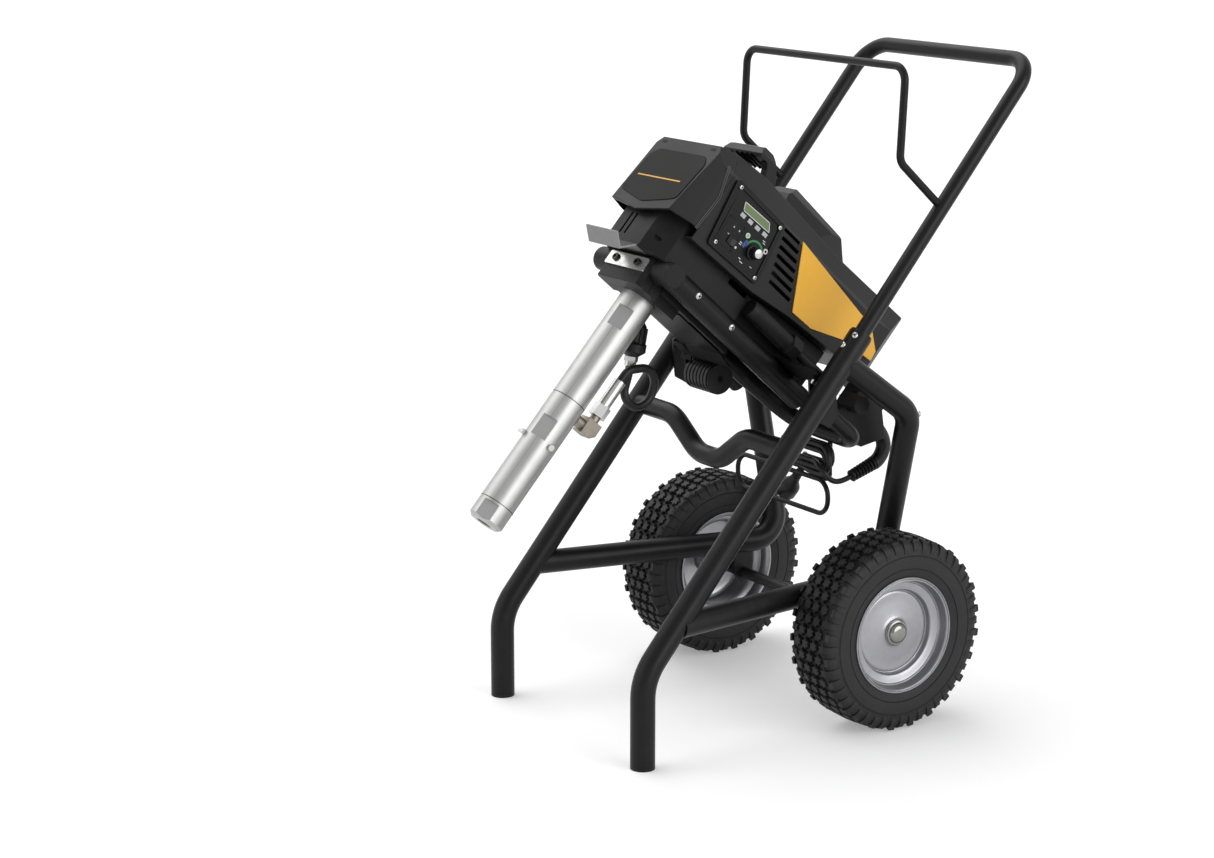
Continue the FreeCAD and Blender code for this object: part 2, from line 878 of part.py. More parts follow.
def housing_tail():
    """Open pan behind the flank, under the motor shroud."""
    front = flank_back - 1
    outline = [(front, tail_low), (tail_back, tail_low), (tail_back, 107), (183, 98), (front, 87)]
    pan = prism(outline, "x", -tail_half, tail_half)
    room = tail_half - tail_wall
    return pan.cut(box(-room, room, front - 1, tail_back - tail_wall, tail_low + tail_wall, 120))


def clamp_room():
    """Room for the clamp block, open to the front."""
    return box(-58 - gap, 58 + gap, -60, -30, fluid_top - 1, 30 + gap)


def clamp_block():
    """Block that closes the fluid section's seat, held by the retainer plate."""
    plan = mirrored([(58, -30 - gap), (58, -48), (plate_half, -54.5)])
    shape = prism(plan, "z", fluid_top, 30)
    shape = shape.cut(saddle().cut(box(-58 - gap, 58 + gap, -60, 0, -20, 60)))
    for side in (-1, 1):
        shape = shape.cut(rod((side * 29, -60, 15.4), (side * 29, -20, 15.4), 3.4))
    return shape


def retainer_plate():
    plate = prism(mirrored([(plate_half, 3), (plate_half, 26)]), "y", -57.9, -54.7, 3)
    for side in (-1, 1):
        plate = plate.cut(rod((side * 29, -60, 15.4), (side * 29, -20, 15.4), 3.4))
    return plate


def pail_hook():
    """Bent strip in front of the neck that holds the pail's bail."""
    path = [(-127, 25), (-106.5, 9.5), (-86, 30), (-52, 33)]
    outer = inset_path(path, hook_sheet / 2)
    shape = prism(outer, "x", -hook_half, hook_half)
    return shape.cut(drive_housing())


def inset_path(path, half):
    """Outline of a strip of one thickness along an open path."""
    left, right = [], []
    for i, here in enumerate(path):
        before, after = path[max(i - 1, 0)], path[min(i + 1, len(path) - 1)]
        ways = []
        for a, b in ((before, here), (here, after)):
            length = math.hypot(b[0] - a[0], b[1] - a[1])
            if length:
                ways.append(((b[0] - a[0]) / length, (b[1] - a[1]) / length))
        mean = (sum(w[0] for w in ways) / len(ways), sum(w[1] for w in ways) / len(ways))
        size = math.hypot(*mean)
        grow = half / (size * size)
        normal = (-mean[1] * grow, mean[0] * grow)
        left.append((here[0] + normal[0], here[1] + normal[1]))
        right.append((here[0] - normal[0], here[1] - normal[1]))
    return left + right[::-1]


def toothed(teeth, axis_v, u0, u1, phase):
    """Spur gear with straight-sided teeth."""
    pitch = module * teeth / 2
    step = math.tau / teeth
    outline = []
    for i in range(teeth):
        middle = phase + i * step
        for share, radius in ((-0.27, pitch - 2.4), (-0.12, pitch + 1.6), (0.12, pitch + 1.6), (0.27, pitch - 2.4)):
            angle = middle + share * step
            outline.append((radius * math.sin(angle), axis_v + radius * math.cos(angle)))
    return prism(outline, "y", u0, u1)


def crank_gear():
    """Large gear with its shaft, crank web and crank pin, the pin level with the shaft."""
    gear = toothed(gear_teeth, crank_v, gear_front, gear_front + gear_width, 0)
    web = rod((0, web_front, crank_v), (0, gear_front, crank_v), 26)
    pin = rod((stroke / 2, yoke_back + gap, crank_v), (stroke / 2, web_front + 1, crank_v), crank_pin)
    shaft = rod((0, gear_front, crank_v), (0, housing_back - 3, crank_v), 10)
    return fused([gear, web, pin, shaft])


def motor_rotor():
    """Armature on its shaft with the pinion cut on the front end."""
    start = housing_back + 14
    end = housing_back + motor_length - 14
    shaft = rod((0, gear_front - 3, motor_v), (0, housing_back + motor_length + 40, motor_v), shaft_radius)
    core = rod((0, start, motor_v), (0, end, motor_v), rotor_radius)
    pinion = toothed(pinion_teeth, motor_v, gear_front, gear_front + gear_width, math.pi + math.pi / pinion_teeth)
    return fused([shaft, core, pinion])


def motor_stator():
    """Round motor body with its end plates."""
    u0, u1 = housing_back, housing_back + motor_length
    shell = rod((0, u0, motor_v), (0, u1, motor_v), motor_radius)
    room = rod((0, u0 + 8, motor_v), (0, u1 - 8, motor_v), rotor_radius + 0.6)
    bore = rod((0, u0 - 1, motor_v), (0, u1 + 1, motor_v), shaft_radius + fit)
    return shell.cut(fused([room, bore]))


def cooling_fan():
    u = housing_back + motor_length + 14
    hub = rod((0, u, motor_v), (0, u + 16, motor_v), 16)
    disc = rod((0, u, motor_v), (0, u + 2, motor_v), fan_radius)
    blades = []
    for i in range(fan_blades):
        blade = box(-1, 1, u + 1, u + 14, motor_v + 14, motor_v + fan_radius - 1)
        blade.rotate(V(0, u, motor_v), along_y, 360 * i / fan_blades)
        blades.append(blade)
    shape = fused([hub, disc] + blades)
    return shape.cut(rod((0, u - 1, motor_v), (0, u + 20, motor_v), shaft_radius))


# Pump unit: fluid section

def piston_rod():
    """Slotted yoke, rod and piston in one piece, with the outlet valve's ball loose in the piston."""
    slot = crank_pin + gap
    reach = stroke / 2 + slot
    yoke = box(-yoke_half, yoke_half, -14, yoke_back, crank_v - 14, crank_v + 14)
    yoke = yoke.cut(box(-reach, reach, -15, yoke_back + 1, crank_v - slot, crank_v + slot))
    shank = rod((0, 0, seam_high - 25), (0, 0, crank_v - 13), rod_radius)
    pin_low = crank_v - stroke - crank_pin - 2 * gap
    shank = shank.cut(box(-rod_radius, rod_radius, yoke_back, rod_radius + 1, pin_low, crank_v))
    piston = rod((0, 0, piston_low), (0, 0, seam_high - 24), fluid_bore - gap)
    shape = fused([yoke, shank, piston])
    shape = shape.cut(rod((0, 0, piston_low + seat_height), (0, 0, seam_high - 28), 8.5))
    shape = shape.cut(rod((0, 0, piston_low - 1), (0, 0, piston_low + seat_height + 1), piston_seat))
    for angle in (0, 90):
        hole = rod((-30, 0, seam_high - 20), (30, 0, seam_high - 20), 3)
        hole.rotate(V(0, 0, 0), along_z, angle)
        shape = shape.cut(hole)
    rise = math.sqrt(piston_ball ** 2 - piston_seat ** 2)
    ball = Part.makeSphere(piston_ball, V(0, 0, piston_low + seat_height + rise))
    return Part.makeCompound([shape, ball])


def packings():
    """Upper packing stack round the rod."""
    height = 32
    profile = [(0, rod_radius + fit), (height, rod_radius + fit), (height, fluid_bore), (0, fluid_bore)]
    return turned(profile, (0, 0, fluid_top - 46), along_z)


def fluid_flats(v):
    """Wrench flats on both sides."""
    reach = fluid_radius - flat_depth
    pair = []
    for side in (-1, 1):
        u0, u1 = sorted((side * reach, side * (reach + 10)))
        pair.append(box(-30, 30, u0, u1, v - 18, v + 18))
    block = fused(pair)
    block.rotate(V(0, 0, 0), along_z, 40)
    return block


def upper_housing():
    body = rod((0, 0, seam_high + gap), (0, 0, fluid_top), fluid_radius)
    collar = rod((0, 0, fluid_top - 1), (0, 0, collar_top), collar_radius - gap / 3)
    shape = fused([body, collar])
    shape = shape.cut(rod((0, 0, seam_high - 1), (0, 0, fluid_top - 14), fluid_bore))
    shape = shape.cut(rod((0, 0, seam_high - 1), (0, 0, collar_top + 1), rod_radius + fit))
    return shape.cut(fluid_flats(-62))


def pump_cylinder():
    body = rod((0, 0, seam_low + gap), (0, 0, seam_high), fluid_radius)
    shape = body.cut(rod((0, 0, seam_low - 1), (0, 0, seam_high + 1), fluid_bore))
    shape = shape.cut(fluid_flats(-268))
    return shape.cut(rod((0, 0, elbow_v), (0, 40, elbow_v), 7))


def inlet_housing():
    profile = [
        (fluid_end, 12),
        (fluid_end, fluid_radius - 5),
        (fluid_end + 5, fluid_radius),
        (seam_low, fluid_radius),
        (seam_low, 16),
        (seam_low - 8, 16),
        (seam_low - 16, inlet_seat),
        (seam_low - 22, 12),
    ]
    shape = turned(profile, (0, 0, 0), along_z)
    return shape.cut(fluid_flats(seam_low - 22).cut(box(-60, 60, -60, 60, seam_low - 4, seam_low + 20)))


def inlet_ball():
    rise = math.sqrt(inlet_ball_radius ** 2 - inlet_seat ** 2)
    return Part.makeSphere(inlet_ball_radius, V(0, 0, seam_low - 16 + rise))


def outlet_elbow():
    """Forged elbow screwed into the back of the cylinder."""
    nipple = rod((0, fluid_radius - 4, elbow_v), (0, elbow_u, elbow_v), 6.9)
    neck = rod((0, fluid_radius + 1, elbow_v), (0, elbow_u, elbow_v), 9)
    block = prism([(elbow_u - 15, elbow_v - 12), (elbow_u + 4, elbow_v - 12), (elbow_u + 12, elbow_v - 4),
                   (elbow_u + 12, elbow_v + 15), (elbow_u - 15, elbow_v + 15)], "x", -12, 12)
    riser = rod((0, elbow_u, elbow_v + 10), (0, elbow_u, elbow_v + 24), 8)
    return fused([nipple, neck, block, riser])


def flat_sided(centre, way, across, length, count=6):
    """Bar with flat sides, six of them on a nut, from a point along a direction."""
    radius = across / 2 / math.cos(math.pi / count)
    corners = [V(radius * math.cos(math.tau * i / count), radius * math.sin(math.tau * i / count), 0)
               for i in range(count)]
    shape = Part.Face(Part.makePolygon(corners + corners[:1])).extrude(V(0, 0, length))
    shape.Placement = FreeCAD.Placement(V(*centre), FreeCAD.Rotation(along_z, V(*way)))
    return shape


filter_way = V(0, -0.5, math.sqrt(0.75))
filter_low = V(-30, 68, -84)
filter_ribs = 8
filter_stem = 12.0
filter_body = 16.0
filter_collar = 20.5
nipple_low = filter_low - filter_way * 13
hose_start = V(0, elbow_u, -134)
loop_middle = V(-15, 105, -116)
loop_radius = 30.0
loop_lean = 18.0  # turn of the loop about the upright line through its middle
loop_drift = 6.0  # sideways step from one corner of the loop to the next


def hose_route():
    """Points of the pressure hose from its lower ferrule, once round a loop, up to the filter."""
    points = [hose_start, V(0, elbow_u, -112)]
    lean, upright = math.radians(loop_lean), math.radians(tilt)
    for i in range(5):
        angle = math.radians(75 - 60 * i)
        reach = loop_radius / math.cos(math.radians(30))
        across, rise = reach * math.cos(angle), reach * math.sin(angle)
        x = loop_drift * (2 - i) - across * math.sin(lean)
        y = across * math.cos(lean)
        u = y * math.cos(upright) - rise * math.sin(upright)
        v = y * math.sin(upright) + rise * math.cos(upright)
        points.append(loop_middle + V(x, u, v))
    return points + [nipple_low - filter_way * 18, nipple_low - filter_way * 2]


def pressure_hose():
    return swept(route(hose_route()), hose_radius)


def hose_fittings():
    """Swivel nut and crimped ferrule at the elbow, nipple and ferrule at the filter."""
    base = V(0, elbow_u, elbow_v + 24)
    nut = flat_sided(base, along_z, 24, 20)
    ferrule = Part.makeCylinder(10, hose_start.z - base.z - 20, base + V(0, 0, 20), along_z)
    low = fused([nut, ferrule])
    collar = Part.makeCylinder(9.5, 7, nipple_low - filter_way * 2, filter_way)
    high = fused([collar, flat_sided(nipple_low + filter_way * 5, filter_way, 19, 8)])
    return Part.makeCompound([low, high])


def filter_cap():
    """Ribbed filter cap with a collar, screwed up under the drive housing."""
    profile = [(0, 0), (0, 10), (8, filter_collar), (20, filter_collar), (24, filter_body), (48, filter_body)]
    profile += [(54, filter_stem), (82, filter_stem), (82, 0)]
    body = turned(profile, (0, 0, 0))
    body.Placement = FreeCAD.Placement(filter_low, FreeCAD.Rotation(along_x, filter_way))
    place = FreeCAD.Placement(filter_low + filter_way * 18, FreeCAD.Rotation(along_z, filter_way))
    ribs = []
    for i in range(filter_ribs):
        rib = box(-2.5, 2.5, filter_body - 3, filter_body + 2.5, 0, 28)
        rib.rotate(V(0, 0, 0), along_z, 360 * i / filter_ribs)
        rib.Placement = place.multiply(rib.Placement)
        ribs.append(rib)
    return fused([body] + ribs).cut(drive_housing())


# Pump unit: underside

def conduit():
    """Cable conduit along the shroud's lower edge, with its gland and tail pipe."""
    x, v = 90, 68
    pipe = turned([(flank_back, 0), (flank_back, 13.5), (flank_back + 9, 15), (214, 15), (214, 0)],
                  (x, 0, v), along_y)
    gland = flat_sided((x, 212, v), (0, 1, 0), 34, 22)
    tail = rod((x, 230, v), (x, 320, v), 8)
    return fused([pipe, gland, tail]).cut(shroud_block(0, -60))


def under_tray():
    """Sheet tray behind the fluid section with the bright strap that carries the buffer roll."""
    path = [(46, belly_low - 1), (150, belly_low - 1), (178, -11)]
    tray = prism(inset_path(path, 1), "x", -54, 48)
    strap = prism(inset_path([(150, -7.2), (176, -9.6), (180, -18)], 1.2), "x", -80, -52)
    ear = prism([(172, -10), (196, -10), (220, -20), (211, -34), (196, -30)], "x", -73, -70)
    pin = rod((-72, *roll_place), (0, *roll_place), roll_bore)
    return fused([tray, strap, ear, pin])


def buffer_roll():
    """Ribbed rubber roll on its pin."""
    profile = [(-66, roll_bore)]
    for i in range(7):
        x = -66 + 9 * i
        profile += [(x, 25), (x + 6, 25), (x + 6, 21.5), (x + 9, 21.5)]
    profile += [(-3, 25), (-1, 24), (-1, roll_bore)]
    return turned(profile, (0, *roll_place))


def inlet_box():
    """Mains inlet housing behind the cradle, hung from the shroud."""
    outline = [(316, 15), (409, 15), (439, 53), (404, 82), (404, 108), (345, 108), (345, 50)]
    shape = prism(outline, "x", 104, 140)
    arm = box(60, 104.5, 345, 404, 92, 108)
    foot = box(60, 92, 348, 366, 100, 126)
    cap = flat_sided((120, 347, 58), (1, 0, 0), 29, 44, 8)
    shape = fused([shape, arm, foot, cap]).cut(shroud_block(0, -60))
    dimple = rod((141, 365, 66), (136, 365, 66), 8)
    return shape.cut(dimple).cut(bow_shape())


# Mains cord

relief_low = V(relief_x, 63, 387)
relief_way = V(0, -0.943, -0.333).normalize()
relief_tip = relief_low + relief_way * relief_length
hank_low = hanger_high + hanger_rod + gap + cord_radius
hank_half = 25.9  # from the hank's middle to its outermost run
hank_heights = [hank_half - hank_pitch / 2 * i for i in range(5)]
inner_run = hank_low + hank_half - hank_heights[-1]
hank_start = 70.0
hank_end = 50.0


def cord_sleeve():
    """Smooth curved sleeve from the inlet box to the ribbed relief."""
    start = unit_point(relief_x, 432, 62)
    corner = unit_point(relief_x, 460, 58)
    path = route([start, corner, relief_low - relief_way * 14, relief_low])
    return swept(path, sleeve_radius).cut(in_unit(inlet_box()))


def strain_relief():
    """Ribbed tapering relief: each rib is a ruled loft through four circles."""
    rib = relief_length / relief_ribs
    sections = []
    for i in range(relief_ribs):
        size = 11.3 - 1.6 * i / relief_ribs
        valley = size - 2.8
        for a, r in ((0, valley), (0.3, size), (0.65, size), (0.9, valley)):
            sections.append(disc_wire(V((i + a) * rib, 0, 0), along_x, r))
    sections.append(disc_wire(V(relief_length, 0, 0), along_x, 7))
    body = Part.makeLoft(sections, True, True)
    body = body.cut(Part.makeCylinder(cord_radius + 0.2, relief_length + 2, V(-1, 0, 0), along_x))
    body.Placement = FreeCAD.Placement(relief_low, FreeCAD.Rotation(along_x, relief_way))
    return body


def cord_route():
    """Free stretch of the cord: from the relief, round in front of the hank and into its middle."""
    front_y = hank_y - hank_pitch - 3
    return [
        relief_tip,
        relief_tip + relief_way * 18,
        V(relief_x + 2, hank_y, 369),
        V(relief_x - 2, front_y, 385),
        V(100, front_y, inner_run),
        V(hank_start + cord_radius * 2, hank_y, inner_run),
        V(hank_start, hank_y, inner_run),
    ]


def power_cord():
    return swept(route(cord_route()), cord_radius)


def hank_path():
    """Unbroken path of the hank: spirals out, climbs a layer along a run, spirals in again."""
    middle = hank_low + hank_half
    order = hank_heights[::-1] + hank_heights[1:]
    last = len(order) - 1
    edges = []
    x, y, z = hank_start, hank_y, inner_run
    below = True
    for i, height in enumerate(order):
        goal = hank_left if below else hank_right
        if i == last:
            goal = hank_end
        if i == last / 2:
            edges += climb(x, goal, y, y + hank_pitch, z)
            y += hank_pitch
        else:
            edges.append(Part.LineSegment(V(x, y, z), V(goal, y, z)).toShape())
        x = goal
        if i < last:
            after = middle + order[i + 1] if below else middle - order[i + 1]
            side = (-1 if below else 1) * abs(after - z) / 2
            edges.append(Part.Arc(V(x, y, z), V(x + side, y, (z + after) / 2), V(x, y, after)).toShape())
            z = after
            below = not below
    return Part.Wire(edges)


def climb(x0, x1, y0, y1, z):
    """Two arcs that shift a run sideways, with its ends still along the run."""
    reach, step = abs(x1 - x0), y1 - y0
    way = 1 if x1 > x0 else -1
    radius = (reach * reach + step * step) / (4 * step)
    half = math.atan2(step, reach)
    side, rise = way * radius * math.sin(half), radius * (1 - math.cos(half))
    middle = V((x0 + x1) / 2, (y0 + y1) / 2, z)
    return [
        Part.Arc(V(x0, y0, z), V(x0 + side, y0 + rise, z), middle).toShape(),
        Part.Arc(middle, V(x1 - side, y1 - rise, z), V(x1, y1, z)).toShape(),
    ]


def cord_hank():
    return swept(hank_path(), cord_radius)


def mains_plug():
    """Two-pin plug on the cord's end, hanging behind the hank and the hanger."""
    back_y = hank_y + hank_pitch
    tail = [
        V(hank_end, back_y, inner_run),
        V(hank_end - 14, back_y, inner_run),
        V(26, back_y + 10.5, inner_run - 1),
        V(20, 2, 378),
        V(8, 4, 363),
    ]
    way = V(-0.66, 0, -0.745).normalize()
    cord = swept(route(tail), cord_radius)
    profile = [(-2, 0), (-2, 5.5), (22, 8), (30, 9.5), (44, 17), (64, 17), (64, 0)]
    body = turned(profile, (0, 0, 0))
    pins = [rod((63, side * 9.5, 0), (83, side * 9.5, 0), 2.4) for side in (-1, 1)]
    plug = fused([body] + pins)
    plug.Placement = FreeCAD.Placement(tail[-1], FreeCAD.Rotation(along_x, way))
    return fused([cord, plug])


def least_self_gap(wire, radius, apart):
    """Least air between stretches of a wound tube that are further apart along it than a limit."""
    count = int(wire.Length / 2)
    points = wire.discretize(Number=count)
    skip = int(apart * count / wire.Length) + 1
    least = min((points[i] - points[j]).Length for i in range(count) for j in range(i + skip, count))
    return least - 2 * radius


def print_cord():
    """Figures of the cord: arc radii, swept volume against section times length, air in the hank."""
    corners = corner_cuts(cord_route(), None, False)
    print("free cord arc radii", [round(corners[i][3], 1) for i in sorted(corners)])
    section = math.pi * cord_radius ** 2
    for name, wire, shape in (("free cord", route(cord_route()), power_cord()), ("hank", hank_path(), cord_hank())):
        share = shape.Volume / (section * wire.Length)
        print(name, "length", round(wire.Length, 1), "volume to section x length", round(share, 4))
    print("hank least self-gap", round(least_self_gap(hank_path(), cord_radius, 30), 2))
    joint = power_cord().common(cord_hank()).Volume
    print("free cord inside the hank", round(joint, 3))


# Fasteners

def screws():
    """Screws of the handle, cradle, rear tubes, rails, clamp and control panel."""
    group = []
    for _, side in sides:
        for along, way in ((9.0, V(side * 0.5, -0.666, 0.553)), (30.0, V(0, -0.769, 0.639))):
            spot = V(side * half_track, *leg_point(leg_top_z - along * math.sin(slope))) + way * (tube_radius - 0.5)
            group.append(button_head(spot, way, 5, 3.5, 3, 14))
        y, z = rear_bend_high[1:]
        bend_place = (side * (rear_bend_high[0] + 6), y + 14.5, z - 1)
        group.append(button_head(bend_place, (side * 0.5, 0.86, 0.1), 5, 3, 2.5, 1))
        group.append(in_unit(button_head((side * (half_track - tube_radius), 225, 23), (side, 0, 0), 4.5, 3, 2.5, 8)))
        for u in (21.5, 104):
            place = (side * (rail_x + tube_radius), u, rail_v + 3)
            group.append(in_unit(button_head(place, (side, 0, 0), 5.5, 3, 2.5, 10)))
        group.append(in_unit(button_head((side * 29, -57.9, 15.4), (0, -1, 0), 6, 4, 3.4, 26)))
    for u, v in screw_places:
        group.append(in_unit(button_head((cover_half + control_sheet, u, v), (1, 0, 0), 3.6, 1.8, 1.9, 10)))
    return group


def build():
    os.makedirs("parts", exist_ok=True)
    fasteners = screws()
    save("legs", Part.makeCompound([leg(side).cut(fasteners) for _, side in sides]))
    save("foot_caps", Part.makeCompound([foot_cap(side) for _, side in sides]))
    save("rear_tubes", Part.makeCompound([rear_tube(side).cut(fasteners) for _, side in sides]))
    save("cross_bar", cross_bar())
    save("handle", handle().cut(fasteners))
    save("handle_sleeves", Part.makeCompound([handle_sleeve(side).cut(fasteners) for _, side in sides]))
    save("hose_rack", hose_rack())
    save("lower_bow", lower_bow())
    save("cord_hanger", cord_hanger())
    save("axle", axle())
    save("axle_caps", Part.makeCompound([axle_cap(side) for _, side in sides]))
    for name, side in sides:
        save(f"tyre_{name}", tyre(side))
        save(f"rim_{name}", rim(side))
        save(f"bush_{name}", bush(side))
    in_place = {
        "rails": Part.makeCompound([rail(side) for _, side in sides]),
        "cradle_bracket": cradle_bracket(),
        "drive_housing": drive_housing(),
        "motor_shroud": motor_shroud(),
        "control_panel": control_panel(),
    }
    for name, shape in in_place.items():
        save(name, in_unit(shape).cut(fasteners))
    unit = {
        "front_cover": front_cover(),
        "top_cover": top_cover(),
        "side_panels": Part.makeCompound([side_panel(side) for _, side in sides]),
        "carry_handle": carry_handle(),
        "display": display(),
        "pressure_knob": pressure_knob(),
        "power_switch": power_switch(),
        "motor_stator": motor_stator(),
        "motor_rotor": motor_rotor(),
        "cooling_fan": cooling_fan(),
        "crank_gear": crank_gear(),
        "piston_rod": piston_rod(),
        "packings": packings(),
        "clamp_block": clamp_block(),
        "retainer_plate": retainer_plate(),
        "pail_hook": pail_hook(),
        "upper_housing": upper_housing(),
        "pump_cylinder": pump_cylinder(),
        "inlet_housing": inlet_housing(),
        "inlet_ball": inlet_ball(),
        "outlet_elbow": outlet_elbow(),
        "hose_fittings": hose_fittings(),
        "pressure_hose": pressure_hose(),
        "filter_cap": filter_cap(),
        "conduit": conduit(),
        "under_tray": under_tray(),
        "buffer_roll": buffer_roll(),
        "inlet_box": inlet_box(),
    }
    for i, place in enumerate(button_places):
        unit[f"button_{i + 1}"] = panel_button(place)
    for name, shape in unit.items():
        save(name, in_unit(shape))
    save("cord_sleeve", cord_sleeve())
    save("strain_relief", strain_relief())
    save("power_cord", power_cord())
    save("cord_hank", cord_hank())
    save("mains_plug", mains_plug())
    save("screws", Part.makeCompound(fasteners))
    print_cord()


build()
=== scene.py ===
import bpy
import bmesh
import math
from mathutils import Matrix, Vector


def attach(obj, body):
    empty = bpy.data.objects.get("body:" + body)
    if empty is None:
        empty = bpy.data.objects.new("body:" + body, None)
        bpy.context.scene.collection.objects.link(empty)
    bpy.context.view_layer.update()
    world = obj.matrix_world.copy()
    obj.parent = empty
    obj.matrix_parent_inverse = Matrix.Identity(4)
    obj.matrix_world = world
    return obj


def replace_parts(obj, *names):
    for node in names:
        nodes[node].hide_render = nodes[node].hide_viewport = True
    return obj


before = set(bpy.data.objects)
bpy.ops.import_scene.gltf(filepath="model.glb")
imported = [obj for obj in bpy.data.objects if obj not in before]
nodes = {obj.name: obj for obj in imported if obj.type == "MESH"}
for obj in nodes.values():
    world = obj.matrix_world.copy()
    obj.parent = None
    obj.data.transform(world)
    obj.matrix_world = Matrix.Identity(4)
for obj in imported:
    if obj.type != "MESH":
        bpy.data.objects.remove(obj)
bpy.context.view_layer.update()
mm = 0.001  # shapes are drawn in millimetres
print("frame loaded with", len(nodes), "nodes")

# the pump unit is drawn upright as x, u (back along the motor), v (up along the rod), then tilted
unitPlace = {"tilt": 41.5, "y": -148.4, "z": 683.2}
tiltAngle = math.radians(unitPlace["tilt"])
unitMm = Matrix.Translation((0, unitPlace["y"], unitPlace["z"])) @ Matrix.Rotation(-tiltAngle, 4, "X")
rodWay = Vector((0, math.sin(tiltAngle), math.cos(tiltAngle)))
motorWay = Vector((0, math.cos(tiltAngle), -math.sin(tiltAngle)))

# as the photograph was taken
cameraView = {"azimuth": 57.07, "elevation": 12.96, "focal": 78.67, "sensor": 36, "farthest": 80,
              "place": (3.33205, -2.37586, 1.38698)}


def linked(name, data):
    # an object for the data, in the scene
    thing = bpy.data.objects.new(name, data)
    bpy.context.scene.collection.objects.link(thing)
    return thing


def addCamera():
    data = bpy.data.cameras.new("photoCamera")
    data.lens = cameraView["focal"]
    data.sensor_width = cameraView["sensor"]
    data.clip_end = cameraView["farthest"]
    camera = linked("photoCamera", data)
    a, e = math.radians(cameraView["azimuth"]), math.radians(cameraView["elevation"])
    look = Vector((-math.sin(a) * math.cos(e), math.cos(a) * math.cos(e), -math.sin(e)))
    camera.location = cameraView["place"]
    camera.rotation_euler = look.to_track_quat("-Z", "Y").to_euler()
    bpy.context.scene.camera = camera


addCamera()


class Field:
    # a value on its way through a material, which can be added, multiplied and so on
    def __init__(self, paint, socket):
        self.paint = paint
        self.socket = socket

    def maths(self, operation, *values):
        return self.paint.node("ShaderNodeMath", {"operation": operation}, dict(enumerate(values)))

    def __add__(self, other):
        return self.maths("ADD", self, other)

    def __radd__(self, other):
        return self.maths("ADD", other, self)

    def __sub__(self, other):
        return self.maths("SUBTRACT", self, other)

    def __rsub__(self, other):
        return self.maths("SUBTRACT", other, self)

    def __mul__(self, other):
        return self.maths("MULTIPLY", self, other)

    def __rmul__(self, other):
        return self.maths("MULTIPLY", other, self)

    def __gt__(self, other):
        return self.maths("GREATER_THAN", self, other)

    def __abs__(self):
        return self.maths("ABSOLUTE", self)


class Nodes:
    # the nodes that lead to one shader, of a material or of the world
    def __init__(self, tree, shader):
        self.tree = tree
        self.shader = tree.nodes[shader]

    def node(self, kind, settings=None, inputs=None, out=0):
        made = self.tree.nodes.new(kind)
        for key, value in (settings or {}).items():
            setattr(made, key, value)
        for key, value in (inputs or {}).items():
            if isinstance(value, Field):
                self.tree.links.new(value.socket, made.inputs[key])
            else:
                made.inputs[key].default_value = value
        return Field(self, made.outputs[out])

    def feed(self, socket, value):
        self.tree.links.new(value.socket, self.shader.inputs[socket])

    def ray(self, name):
        return self.node("ShaderNodeLightPath", out=name)

    def ramp(self, value, low, high):
        # 0 at low, 1 at high and beyond
        return self.node("ShaderNodeMapRange", {"clamp": True}, {0: value, 1: low, 2: high, 3: 0.0, 4: 1.0})

    def vectors(self, operation, *values, out="Vector"):
        return self.node("ShaderNodeVectorMath", {"operation": operation}, dict(enumerate(values)), out)


class Paint(Nodes):
    # one material: constants go on the shader's own sockets, and what varies is fed in
    def __init__(self, name, **constants):
        self.material = bpy.data.materials.new(name)
        self.material.use_nodes = True
        super().__init__(self.material.node_tree, "Principled BSDF")
        for key, value in constants.items():
            self.shader.inputs[key.replace("_", " ")].default_value = value

    def place(self):
        return self.node("ShaderNodeTexCoord", out="Object")

    def noise(self, scale, detail=2.0, rough=0.5):
        inputs = {"Vector": self.place(), "Scale": scale, "Detail": detail, "Roughness": rough}
        return self.node("ShaderNodeTexNoise", None, inputs)

    def along(self, direction, vector=None):
        return self.vectors("DOT_PRODUCT", vector or self.place(), tuple(direction), out="Value")

    def lines(self, direction, scale, detail=3.0):
        # noise that changes along one direction only, as turning marks do
        return self.node("ShaderNodeTexNoise", {"noise_dimensions": "1D"},
                         {"W": self.along(direction) * scale, "Scale": 1.0, "Detail": detail})

    def mixed(self, mask, low, high):
        low, high = (shade if isinstance(shade, Field) else (*shade, 1) for shade in (low, high))
        return self.node("ShaderNodeMix", {"data_type": "RGBA"}, {0: mask, 6: low, 7: high}, out=2)

    def edge(self, radius):
        # softens the sharp edges of a casting or moulding
        return self.node("ShaderNodeBevel", {"samples": 4}, {"Radius": radius})

    def relief(self, height, depth, soft=None, strength=0.5):
        # the normal of a surface with this height, over edges softened by this radius
        inputs = {"Height": height, "Distance": depth, "Strength": strength}
        if soft:
            inputs["Normal"] = self.edge(soft)
        return self.node("ShaderNodeBump", None, inputs)

    def worn(self, radius):
        # strongest where the softened normal leaves the true one, which is along the edges
        normal = self.node("ShaderNodeNewGeometry", out="Normal")
        bent = self.vectors("DOT_PRODUCT", self.edge(radius), normal, out="Value")
        return self.ramp(1.0 - bent, low=0.02, high=0.2)


def between(pair, value, spread):
    # noise keeps near its middle, so the spread takes it nearer to both ends of the pair
    return pair[0] + value * ((pair[1] - pair[0]) * spread)


def coated(name, shade, wear, rough, grain=900, depth=0.00005, soft=0.0008, gloss=0.3):
    # powder coat or enamel: a fine orange-peel skin, cloudy gloss and a little dust
    paint = Paint(name, Specular_IOR_Level=gloss)
    cloud = paint.noise(scale=9, detail=4, rough=0.6)
    dust = paint.ramp(paint.noise(scale=34, detail=6, rough=0.7), low=0.52, high=0.8)
    paint.feed("Base Color", paint.mixed(dust * 0.3, shade, wear))
    paint.feed("Roughness", between(rough, cloud, 1.6))
    paint.feed("Normal", paint.relief(paint.noise(grain), depth, soft))
    return paint.material


